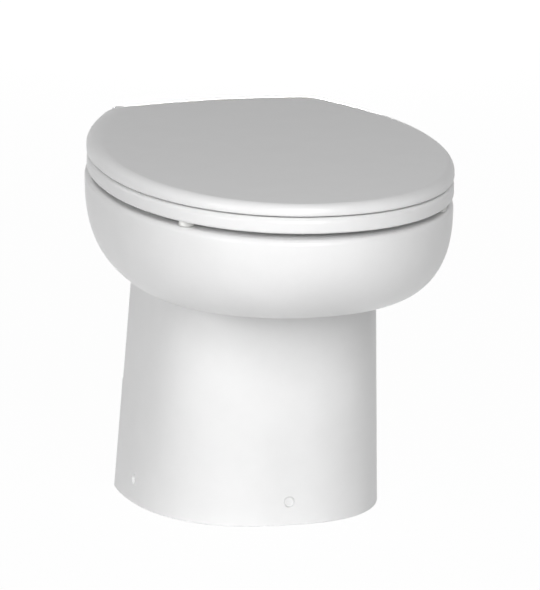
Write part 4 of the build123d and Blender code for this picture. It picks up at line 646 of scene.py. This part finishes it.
def well_shell():
    """The outside of the well, from its top to the end of its horn"""
    wide = sump_radius + shell_wall
    low = shell_foot + shell_round_up
    levels = [well_level(step / well_steps, shell_wall) for step in range(well_steps + 1)]
    levels += [round_level(wide, height) for height in (shell_top, low)]
    for angle in quarter(4, 1):
        levels.append(
            round_level(wide - shell_round_across * (1 - cos(angle)), low - shell_round_up * sin(angle))
        )
    for angle in quarter(4):
        height = shell_foot - horn_fillet * (1 - cos(angle))
        levels.append(round_level(horn_radius + horn_fillet * (1 - sin(angle)), height))
    return levels + [round_level(horn_radius, height) for height in (horn_middle, horn_bottom)]


def well_inside():
    """The inside of the well, from above the rim to below its horn"""
    levels = [opening_level(opening_round + rim_flare, rim_height + cut_overrun)]
    levels += [opening_level(opening_round, rim_height)]
    for angle in quarter(5, 1):
        height = rim_height - opening_round * (1 - cos(angle))
        levels.append(opening_level(opening_round * (1 - sin(angle)), height))
    levels += [opening_level(0, height) for height in (opening_ledge, well_top + ledge_round)]
    for angle in quarter(3, 1):
        levels.append(opening_level(opening_round * sin(angle), well_top + ledge_round * (1 - sin(angle))))
    levels += [well_level(step / well_steps) for step in range(well_steps + 1)]
    for angle in quarter(5, 1):
        radius = horn_bore + (sump_radius - horn_bore) * (1 - sin(angle))
        levels.append(round_level(radius, sump_height - sump_round * (1 - cos(angle))))
    return levels + [round_level(horn_bore, height) for height in (horn_middle, horn_bottom - horn_overrun)]


def cast_bowl(glaze, bare):
    """The casting, with its hollows cut in the order that its moulds form them"""
    body = casting_skin(glaze)
    body.data.materials.append(bare)
    plans = [level(pedestal_plan(height, china_wall, china_wall), height) for height in hollow_heights]
    carve(body, skin("hollow", plans, bare))
    arches = [[(x, y, z) for x, z in service_arch()] for y in (service_front, behind_all)]
    carve(body, skin("service_opening", arches, glaze))
    step = [(-step_half_width, step_front), (step_half_width, step_front)]
    step += [(step_half_width, step_rear), (-step_half_width, step_rear)]
    heights = (step_bottom, neck_height - step_clearance)
    carve(body, skin("rear_step", [level(step, height) for height in heights], glaze))
    carve(body, skin("well_shell", well_shell(), glaze), "UNION")
    carve(body, skin("well", well_inside(), glaze))
    for side in (-1, 1):
        deck = (side * hinge_x, hinge_y, rim_height + deck_start)
        drill(body, deck, (0, 0, -1), deck_hole, deck_depth, glaze)
    drill(body, (0, spud_start_y, spud_z), (0, 1, 0), spud_hole, spud_depth, glaze)
    for centre, along in fixings:
        inward = -Vector(along)
        outside = Vector(centre) - inward * cut_overrun
        drill(body, outside, inward, cap_recess, cut_overrun + cap_recess_depth, glaze)
        drill(body, outside, inward, screw_hole, cut_overrun + china_wall + wall_overrun, glaze)
    return body


# Glaze: thick glass over white clay, so the eye gets an even white with broad, soft highlights on a barely
# rippled surface
glaze = grained(
    "glazed_vitreous_china", "#F3F3F3", "#F6F6F6", 9.0, 0.006, {"IOR": 1.5}, (0.3, 0.34), patch_mm=60.0
)
# Fired clay with no glaze: chalky, faintly warm, with a sandy grain
bare_clay = grained("unglazed_fired_clay", "#D6D2C8", "#E2DED5", 0.5, 0.05, {"IOR": 1.5}, (0.8, 0.92))
casting = cast_bowl(glaze, bare_clay)
casting.name = "bowl_and_pedestal"
mount(casting, "toilet", "glazed_china", "bowl_pedestal")

# Outlet boot: a moulded rubber sleeve with three soft ribs, pushed over the casting's horn and the pump's
# inlet. Two worm-drive clamps of stainless strip hold it; their bands have a slot for each turn of the worm.
boot_bottom, boot_top = 111.0, 151.0
boot_radius, boot_rib, boot_ribs, rib_power = 26.55, 2.0, 3, 0.8
boot_gap, lip_across, lip_along = 0.05, 1.2, 1.0
boot_clamp_width, clamp_inset, clamp_land = 8.0, 1.0, 10.0


def turned(name, profile, material, ring=False, count=96):
    """A solid of revolution through radii and heights"""
    return skin(name, [level(disc(radius, count), height) for radius, height in profile], material, ring)


def boot_profile(steps=60):
    """The boot's radii and heights: rolled lips, plain bands under the clamps and soft ribs between them"""
    inside = horn_radius + boot_gap
    profile = [(inside, boot_bottom), (inside, boot_top)]
    profile += [(boot_radius - lip_across, boot_top), (boot_radius, boot_top - lip_along)]
    ribbed = boot_top - boot_bottom - 2 * clamp_land
    for step in range(steps + 1):
        share = step / steps
        wave = -cos(2 * pi * boot_ribs * share)
        swell = boot_rib * max(0.0, wave) ** rib_power if 0 < share < 1 else 0.0
        profile.append((boot_radius + swell, boot_top - clamp_land - share * ribbed))
    return profile + [(boot_radius, boot_bottom + lip_along), (boot_radius - lip_across, boot_bottom)]


boot = turned("outlet_boot_sleeve", boot_profile(), black_rubber, ring=True)
place(boot, (0, inlet_y, 0))
mount(boot, "toilet", "black_rubber", "outlet_boot")

# Strip steel is rolled, so it has long fine lines round the band and a brighter gloss than the turned parts
rolled_steel = grained(
    "rolled_stainless_strip", "#B2B3B5", "#CFD0D2", 0.15, 0.003, {"Metallic": 1.0}, (0.2, 0.32), (1, 1, 8)
)


def clamp_band(inner, outer, width, roll=0.2):
    """The clamp's band, with its edges rolled a little"""
    edges = [(inner, roll), (inner, width - roll), (inner + roll, width), (outer - roll, width)]
    edges += [(outer, width - roll), (outer, roll), (outer - roll, 0), (inner + roll, 0)]
    return turned("band", edges, rolled_steel, ring=True)


def clamp_slots(outer, width, ring, margin=3.0, half_wide=0.45, sink=-0.3, rise=0.15, pitch=2.2):
    """The pressed bars that the worm runs in, all round the band"""
    half = (width - margin) / 2
    around = [(-half, -half_wide), (half, -half_wide), (half, half_wide), (-half, half_wide)]
    bars = skin("bars", [[(x, y, z) for z, y in around] for x in (sink, rise)], rolled_steel)
    grow(bars, ring, {"Count": int(2 * pi * outer / pitch), "Circle radius": outer * MM})
    place(bars, (0, 0, width / 2))
    return bars


def clamp_house(outer, width, half_long, side_gap=0.1, tall=6.6, shoulder=2.6, turn=2.4):
    """The pressed housing over the worm, drawn in a little at both ends"""
    seat, draw, end_share = 0.3, 0.5, 0.9
    half = width / 2 - side_gap
    arch = [(half, 0.0), (half, tall - shoulder)]
    arch += [(half - turn * (1 - cos(a)), tall - turn * (1 - sin(a))) for a in quarter(6)]
    arch += [(-x, y) for x, y in arch[::-1]]
    ends = [(-half_long, end_share), (draw - half_long, 1.0), (half_long - draw, 1.0), (half_long, end_share)]
    levels = [[(x, outer - seat + y * share, width / 2 + z * share) for z, y in arch] for x, share in ends]
    return skin("house", levels, rolled_steel)


def clamp_screw(radius=2.6, root=-3.0, top=1.1, chamfer=0.5, key=1.5, key_depth=1.5):
    """The worm's head with its hexagon socket"""
    head = [(disc(radius), root), (disc(radius), top - chamfer), (disc(radius - chamfer), top)]
    head += [(hexagon(key), top), (hexagon(key), top - key_depth)]
    return skin("screw", fastener_levels(head), turned_steel)


def worm_clamp(band_radius, width, ring):
    """A worm-drive clamp round +Z with its screw's housing at +Y: band, slots, housing and screw"""
    gap, reach = 0.05, 0.75
    half_long, screw_inset, screw_rise = 6.8, 0.6, 3.2
    outer = band_radius + reach
    band = clamp_band(band_radius + gap, outer, width)
    bars = clamp_slots(outer, width, ring)
    house = clamp_house(outer, width, half_long)
    screw = clamp_screw()
    place(screw, (half_long - screw_inset, outer + screw_rise, width / 2), (1, 0, 0))
    return join("worm_clamp", [band, bars, house, screw])


def join(name, pieces):
    """Puts several meshes, with their materials, into one piece"""
    with bpy.context.temp_override(active_object=pieces[0], selected_editable_objects=pieces):
        bpy.ops.object.join()
    pieces[0].name = name
    return pieces[0]


slots = ring_tree("slots_round_a_band", rolled_steel)
boot_clamps = [worm_clamp(boot_radius, boot_clamp_width, slots) for _ in range(2)]
upper_clamp = boot_top - clamp_inset - boot_clamp_width
for clamp, height in zip(boot_clamps, (boot_bottom + clamp_inset, upper_clamp)):
    place(clamp, (0, inlet_y, height))
mount(join("boot_worm_clamps", boot_clamps), "toilet", "stainless_steel", "boot_clamps")

# Rinse hose: rubber cured on a bent former, so its two bends keep their shape. It runs from the valve to the
# spud behind the rim under two small clamps; the fine cross ribs are the print of the wrap that it cured in.
hose_radius, hose_bend, hose_clamp_width = 9.6, 24.0, 7.0
valve_x, outlet_z = -79.0, 142.0
hose_start_y, hose_loop_y, hose_end_y = 142.75, 202.75, 152.75


def hose_tree(material):
    """Sweeps a round section along a route whose corners are rounded"""
    tree, given = start_tree("hose_along_a_route", {"Bend radius": "Float", "Hose radius": "Float"})
    route = add_node(tree, "GeometryNodeMeshToCurve", None, {"Mesh": given["Geometry"]})
    links = {"Curve": route.outputs[0], "Radius": given["Bend radius"]}
    bent = add_node(tree, "GeometryNodeFilletCurve", {"Count": 24}, links, mode="POLY")
    section = add_node(
        tree, "GeometryNodeCurvePrimitiveCircle", {"Resolution": 48}, {"Radius": given["Hose radius"]}
    )
    links = {"Curve": bent.outputs[0], "Profile Curve": section.outputs[0]}
    hose = add_node(tree, "GeometryNodeCurveToMesh", {"Fill Caps": True}, links)
    end_tree(tree, hose.outputs[0], material)
    return tree


wrapped_rubber = grained(
    "wrap_cured_rubber", "#151516", "#1F1F21", 0.9, 0.05, {"IOR": 1.52}, (0.55, 0.7), (0.4, 1, 0.4)
)
route = [(valve_x, hose_start_y, outlet_z), (valve_x, hose_loop_y, outlet_z)]
route += [(0, hose_loop_y, spud_z), (0, hose_end_y, spud_z)]
route_mesh = bpy.data.meshes.new("route")
runs = [(start, start + 1) for start in range(len(route) - 1)]
route_mesh.from_pydata([Vector(point) * MM for point in route], runs, [])
hose = bpy.data.objects.new("formed_rinse_hose", route_mesh)
bpy.context.scene.collection.objects.link(hose)
sizes = {"Bend radius": hose_bend * MM, "Hose radius": hose_radius * MM}
grow(hose, hose_tree(wrapped_rubber), sizes)
mount(hose, "toilet", "black_rubber", "rinse_hose")

hose_clamps = [worm_clamp(hose_radius, hose_clamp_width, slots) for _ in range(2)]
place(hose_clamps[0], (valve_x, hose_start_y + clamp_inset, outlet_z), (0, 1, 0), pi)
place(hose_clamps[1], (0, hose_end_y + clamp_inset, spud_z), (0, 1, 0), pi)
mount(join("hose_worm_clamps", hose_clamps), "toilet", "stainless_steel", "rinse_clamps")

# Spud, hinge washers and wing nuts: moulded in natural white nylon and tightened by hand behind the china.
# The nylon is slightly milky, with the mould's satin skin.
white_nylon = grained("moulded_white_nylon", "#DAD9D3", "#E4E3DE", 0.8, 0.02, {"IOR": 1.53}, (0.4, 0.52))
paint(white_nylon, "rinse_spud", "hinge_washers", "hinge_wing_nuts")

# Hinge: two posts on white rubber gaskets, each on a stainless stud through the rim's deck, and two pins.
# The posts are compression moulded with the seat and lid, in the same white thermoset.
white_rubber = grained("moulded_white_rubber", "#DEDEDB", "#E8E8E6", 0.5, 0.02, {"IOR": 1.5}, (0.52, 0.66))
# Polished mould: an even white, a trace darker than the glaze, with broad highlights and almost no ripple
thermoset = grained(
    "compression_moulded_thermoset",
    "#F1F1F1",
    "#F4F4F4",
    6.0,
    0.003,
    {"IOR": 1.5},
    (0.3, 0.34),
    patch_mm=60.0,
)
paint(thermoset, "hinge_posts")
paint(white_rubber, "hinge_gaskets", "seat_bumpers", "lid_bumpers")
paint(turned_steel, "hinge_pins", "hinge_studs")

# Seat: a solid moulded ring on four bumpers, with a rounded outer edge, a softer inner edge and two arms that
# reach back and up to the hinge pins.
seat_bottom, seat_top = 347.9, 364.3
seat_half_width, seat_front = 179.4, -254.65
seat_low_round, seat_top_round, hole_low_round, hole_top_round = 3.0, 6.0, 2.0, 7.0
shared_rear, shared_rear_half, shared_corner, shared_crown = 223.05, 116.0, 26.0, 10.0
seat_opening_half, seat_opening_front, seat_opening_rear = 108.0, -190.65, 84.75
face_shares = (0.02, 0.3, 0.7, 0.98)
hinge_z = 374.5
knuckle_radius, knuckle_width = 6.5, 14.0
arm_root, arm_thick, arm_offset = 6.0, 9.0, 15.5


def cover_plan(half_width, front, inset):
    """The plan that the seat and lid share, with its bowed rear"""
    rear_half = shared_rear_half - inset
    corner = shared_corner - inset
    outer = half_width - inset
    return outline(
        outer, front + inset, widest_y, shared_rear - inset, rear_half, plan_powers, corner, shared_crown
    )


def edge(flat, up, inset, rise, half_width, front, steps=10):
    """Levels of a rounded edge, from its flat face to where the side begins"""
    return [
        level(cover_plan(half_width, front, inset * (1 - sin(a))), flat + up * rise * (1 - cos(a)))
        for a in quarter(steps)
    ]


def arm(profile, x, material):
    """A prism along X with small rounded edges, from a profile in Y and Z"""
    centre = sum((Vector(point) for point in profile), Vector((0, 0))) / len(profile)
    half = knuckle_width / 2
    rounding = [(0.0, 0.8), (0.25, 0.25), (0.8, 0.0)]
    stations = [(off - half, draw) for off, draw in rounding]
    stations += [(half - off, draw) for off, draw in rounding[::-1]]
    levels = []
    for off, draw in stations:
        ring = []
        for point in profile:
            out = Vector(point) - centre
            y, z = centre + out * (1 - draw / out.length)
            ring.append((x + off, y, z))
        levels.append(ring)
    return skin("arm", levels, material)


def knuckle_arc(start, end, steps=20):
    """Points round the hinge axis between two angles"""
    turns = [start + (end - start) * step / steps for step in range(steps + 1)]
    return [(hinge_y + knuckle_radius * cos(t), hinge_z + knuckle_radius * sin(t)) for t in turns]


def seat_hole(inset, height, count):
    """A level of the seat's opening, wider by an inset"""
    front, rear = seat_opening_front - inset, seat_opening_rear + inset
    return level(egg(seat_opening_half + inset, front, widest_y, rear, count), height)


def make_seat(material):
    """The seat ring with its arms"""
    outer = edge(seat_bottom, 1, seat_low_round, seat_low_round, seat_half_width, seat_front)
    outer += edge(seat_top, -1, seat_top_round, seat_top_round, seat_half_width, seat_front)[::-1]
    count = len(outer[0])
    hole = []
    for angle in quarter(10):
        height = seat_top - hole_top_round * (1 - cos(angle))
        hole.append(seat_hole(hole_top_round * (1 - sin(angle)), height, count))
    for angle in quarter(5):
        height = seat_bottom + hole_low_round * (1 - sin(angle))
        hole.append(seat_hole(hole_low_round * (1 - cos(angle)), height, count))
    top_face = between(outer[-1], hole[0], face_shares)
    under_face = between(hole[-1], outer[0], face_shares)
    ring = skin("seat_ring", outer + top_face + hole + under_face, material, ring=True)
    low, front_y = seat_bottom + seat_low_round, shared_rear - arm_root
    profile = [(front_y, low), (hinge_y + knuckle_radius, low)] + knuckle_arc(0, pi)
    profile += [(hinge_y - knuckle_radius, low + arm_thick), (front_y, low + arm_thick)]
    for x in (hinge_x + arm_offset, -hinge_x - arm_offset):
        carve(ring, arm(profile, x, material), "UNION")
    return ring


seat = make_seat(thermoset)
mount(seat, "seat", "white_seat_plastic", "seat")

# Lid: a moulded shell whose flat top falls a little to the front, with a rounded edge that is tight in front
# and broad at the rear. It is hollow underneath, with four bosses for its bumpers and two hinge arms.
lid_bottom, lid_top = 365.8, 388.4
lid_half_width, lid_front = 180.0, -253.65
lid_wall, lid_skin, pocket_round = 6.0, 5.5, 5.0
lid_low_round, lid_bead, ceiling_inset = 2.5, 0.8, 6.0
front_fall = 9.9
front_edge_inset, front_edge_height = 9.0, 10.0
rear_edge_inset, rear_edge_height = 22.0, 14.0
edge_start = 0.2
blend_from, blend_to = -60.0, 200.0
flat_row, flat_rows = 2.0, 2
boss_radius, boss_sink = 7.5, 1.0
boss_places = [(105.0, -166.25), (-105.0, -166.25), (128.0, 88.75), (-128.0, 88.75)]


def top_height(y):
    """The height of the lid's top, which falls to the front"""
    return lid_top - front_fall * (shared_rear - y) / (shared_rear - lid_front)


def lid_dome(steps=18):
    """The lid's rounded edge, from its side up to its flat top"""
    outside = cover_plan(lid_half_width, lid_front, 0)
    inside = cover_plan(lid_half_width, lid_front, rear_edge_inset)
    levels = []
    for step in range(steps, -flat_rows - 1, -1):
        points = []
        for near, far in zip(outside, inside):
            share = min(max((near[1] - blend_from) / (blend_to - blend_from), 0), 1)
            rearness = share * share * (3 - 2 * share)
            first = edge_start * (1 - rearness)
            angle = first + (pi / 2 - first) * max(step, 0) / steps
            width = front_edge_inset + (rear_edge_inset - front_edge_inset) * rearness
            drop = front_edge_height + (rear_edge_height - front_edge_height) * rearness
            inset = width * (1 - sin(angle)) - flat_row * min(step, 0)
            x, y = Vector(near).lerp(Vector(far), inset / rear_edge_inset)
            points.append((x, y, top_height(y) - drop * (1 - cos(angle))))
        levels.append(points)
    return levels


def ceiling_level(inset, below=0.0):
    """A level of the pocket under the lid, which follows the slope of its top"""
    plan = cover_plan(lid_half_width, lid_front, inset)
    return [(x, y, top_height(y) - lid_skin - below) for x, y in plan]


def make_lid(material):
    """The lid's shell with its bosses and arms"""
    pocket = [ceiling_level(lid_wall + pocket_round + ceiling_inset)]
    for angle in quarter(8):
        inset = lid_wall + pocket_round * (1 - sin(angle))
        pocket.append(ceiling_level(inset, pocket_round * (1 - cos(angle))))
    pocket += [level(cover_plan(lid_half_width, lid_front, lid_wall), lid_bottom + lid_bead)]
    pocket += [level(cover_plan(lid_half_width, lid_front, lid_wall - lid_bead), lid_bottom)]
    side = edge(lid_bottom, 1, lid_low_round, lid_low_round, lid_half_width, lid_front, 6)
    shell = skin("lid_shell", pocket + side + lid_dome(), material)
    front_y = shared_rear - arm_root
    profile = [(front_y, hinge_z - knuckle_radius)] + knuckle_arc(-pi / 2, pi / 2)
    profile += [(front_y, hinge_z + knuckle_radius)]
    for x in (hinge_x - arm_offset, arm_offset - hinge_x):
        carve(shell, arm(profile, x, material), "UNION")
    for x, y in boss_places:
        heights = (lid_bottom, top_height(y) - lid_skin + boss_sink)
        boss = skin("boss", [level(disc(boss_radius), height) for height in heights], material)
        place(boss, (x, y, 0))
        carve(shell, boss, "UNION")
    return shell


lid = make_lid(thermoset)
mount(lid, "lid", "white_seat_plastic", "lid")

# Side screws and caps: after the casting is set over the base plate, three screws draw it to the lugs, and
# white moulded caps close their recesses, each a shallow cup with a thin rim, pressed down onto its screw.
paint(turned_steel, "side_screws")
cap_radius, cap_back, cap_thick, cap_floor = 5.6, 1.7, 1.1, 0.4
cap_foot_round, cap_lip_round, cap_lip = 0.3, 0.2, 0.4


def screw_cap(centre, along):
    """A cup-shaped cap set into its recess"""
    floor_height = cap_floor - cap_thick
    outside, inside = cap_radius - cap_lip_round, cap_radius - cap_lip_round - cap_lip
    cup = inside - cap_foot_round
    profile = [(cap_radius - cap_foot_round, -cap_thick), (cap_radius, cap_foot_round - cap_thick)]
    profile += [(cap_radius, -cap_lip_round), (outside, 0), (inside, 0)]
    profile += [(inside - cap_lip_round, -cap_lip_round), (cup, floor_height + cap_foot_round)]
    profile += [(cup - cap_foot_round, floor_height)]
    cap = turned("cap", profile, thermoset, count=64)
    place(cap, Vector(centre) - Vector(along) * cap_back, along)
    return cap


caps = join("screw_recess_caps", [screw_cap(centre, along) for centre, along in fixings])
mount(caps, "toilet", "white_seat_plastic", "screw_caps")

# Studio: a white paper sweep and a white surround, as in a product photograph. A large softbox stands high in
# front, a weaker one at the left, and a small low one behind. The paper is seen as plain white and keeps a
# faint contact shadow.


def white_when_seen(tree):
    """1 for rays that see a surface directly, in a reflection or through glass, and 0 for the rest"""
    path = add_node(tree, "ShaderNodeLightPath").outputs
    rays = {0: path["Is Camera Ray"], 1: path["Is Glossy Ray"]}
    seen = add_node(tree, "ShaderNodeMath", None, rays, operation="MAXIMUM")
    rays = {0: seen.outputs[0], 1: path["Is Transmission Ray"]}
    return add_node(tree, "ShaderNodeMath", None, rays, operation="MAXIMUM").outputs[0]


floor_reach = 12.0
ends = (-floor_reach, floor_reach)
floor_mesh = bpy.data.meshes.new("floor")
floor_mesh.from_pydata([(x, y, 0) for x in ends for y in ends], [], [(0, 2, 3, 1)])
floor = bpy.data.objects.new("floor", floor_mesh)
bpy.context.scene.collection.objects.link(floor)
paper = bpy.data.materials.new("white_paper_sweep")
paper.use_nodes = True
tree = paper.node_tree
tree.nodes.clear()
glow_most = 0.98
seen_white = white_when_seen(tree)
glow_share = add_node(tree, "ShaderNodeMath", {1: glow_most}, {0: seen_white}, operation="MULTIPLY")
matt = add_node(tree, "ShaderNodeBsdfDiffuse", {"Color": linear("#FFFFFF")})
glow = add_node(tree, "ShaderNodeEmission", {"Color": linear("#FFFFFF"), "Strength": 1.0})
links = {"Fac": glow_share.outputs[0], 1: matt.outputs[0], 2: glow.outputs[0]}
sheet = add_node(tree, "ShaderNodeMixShader", None, links)
add_node(tree, "ShaderNodeOutputMaterial", None, {"Surface": sheet.outputs[0]})
floor_mesh.materials.append(paper)

world = bpy.data.worlds.new("studio")
bpy.context.scene.world = world
world.use_nodes = True
tree = world.node_tree
tree.nodes.clear()
ambient = 0.03
values = {"To Min": ambient, "To Max": 1.0}
strength = add_node(tree, "ShaderNodeMapRange", values, {"Value": white_when_seen(tree)})
links = {"Strength": strength.outputs["Result"]}
surround = add_node(tree, "ShaderNodeBackground", {"Color": linear("#FFFFFF")}, links)
add_node(tree, "ShaderNodeOutputWorld", None, {"Surface": surround.outputs[0]})


def softbox(name, centre, target, size, power):
    """A square area lamp that faces a point"""
    lamp = bpy.data.lights.new(name, "AREA")
    lamp.shape = "SQUARE"
    lamp.size = size
    lamp.energy = power
    lamp_object = bpy.data.objects.new(name, lamp)
    lamp_object.location = centre
    aim = (Vector(target) - Vector(centre)).to_track_quat("-Z", "Y")
    lamp_object.rotation_euler = aim.to_euler()
    bpy.context.scene.collection.objects.link(lamp_object)


softbox("front_softbox", centre=(-0.7, -3.5, 2.0), target=(0, 0, 0.2), size=2.0, power=108)
softbox("left_softbox", centre=(-3.6, -1.1, 1.1), target=(0, 0, 0.2), size=1.6, power=33)
softbox("low_rear_softbox", centre=(0.75, 2.6, 0.19), target=(0, 0, 0.19), size=0.34, power=18)

# Camera: the photograph's long lens, from in front, a little to the left and above. The focal length is in
# the photograph's pixels, and the place was fitted to the object's outline in it.
photo_height, focal_pixels = 590, 20000
camera_place = (-5573.61, -19336.18, 4840.37)
view_side, view_height, view_roll = radians(16.08), radians(12.912), radians(0.4)
camera_data = bpy.data.cameras.new("camera")
camera = bpy.data.objects.new("camera", camera_data)
bpy.context.scene.collection.objects.link(camera)
bpy.context.scene.camera = camera
camera_data.sensor_width = 36
camera_data.lens = focal_pixels * camera_data.sensor_width / photo_height
camera_data.clip_start = 0.1
camera_data.clip_end = 100
camera.location = Vector(camera_place) * MM
aim = Matrix.Rotation(-view_side, 3, "Z") @ Matrix.Rotation(pi / 2 - view_height, 3, "X")
camera.rotation_euler = (aim @ Matrix.Rotation(view_roll, 3, "Z")).to_euler()
bpy.context.scene.view_settings.view_transform = "Standard"
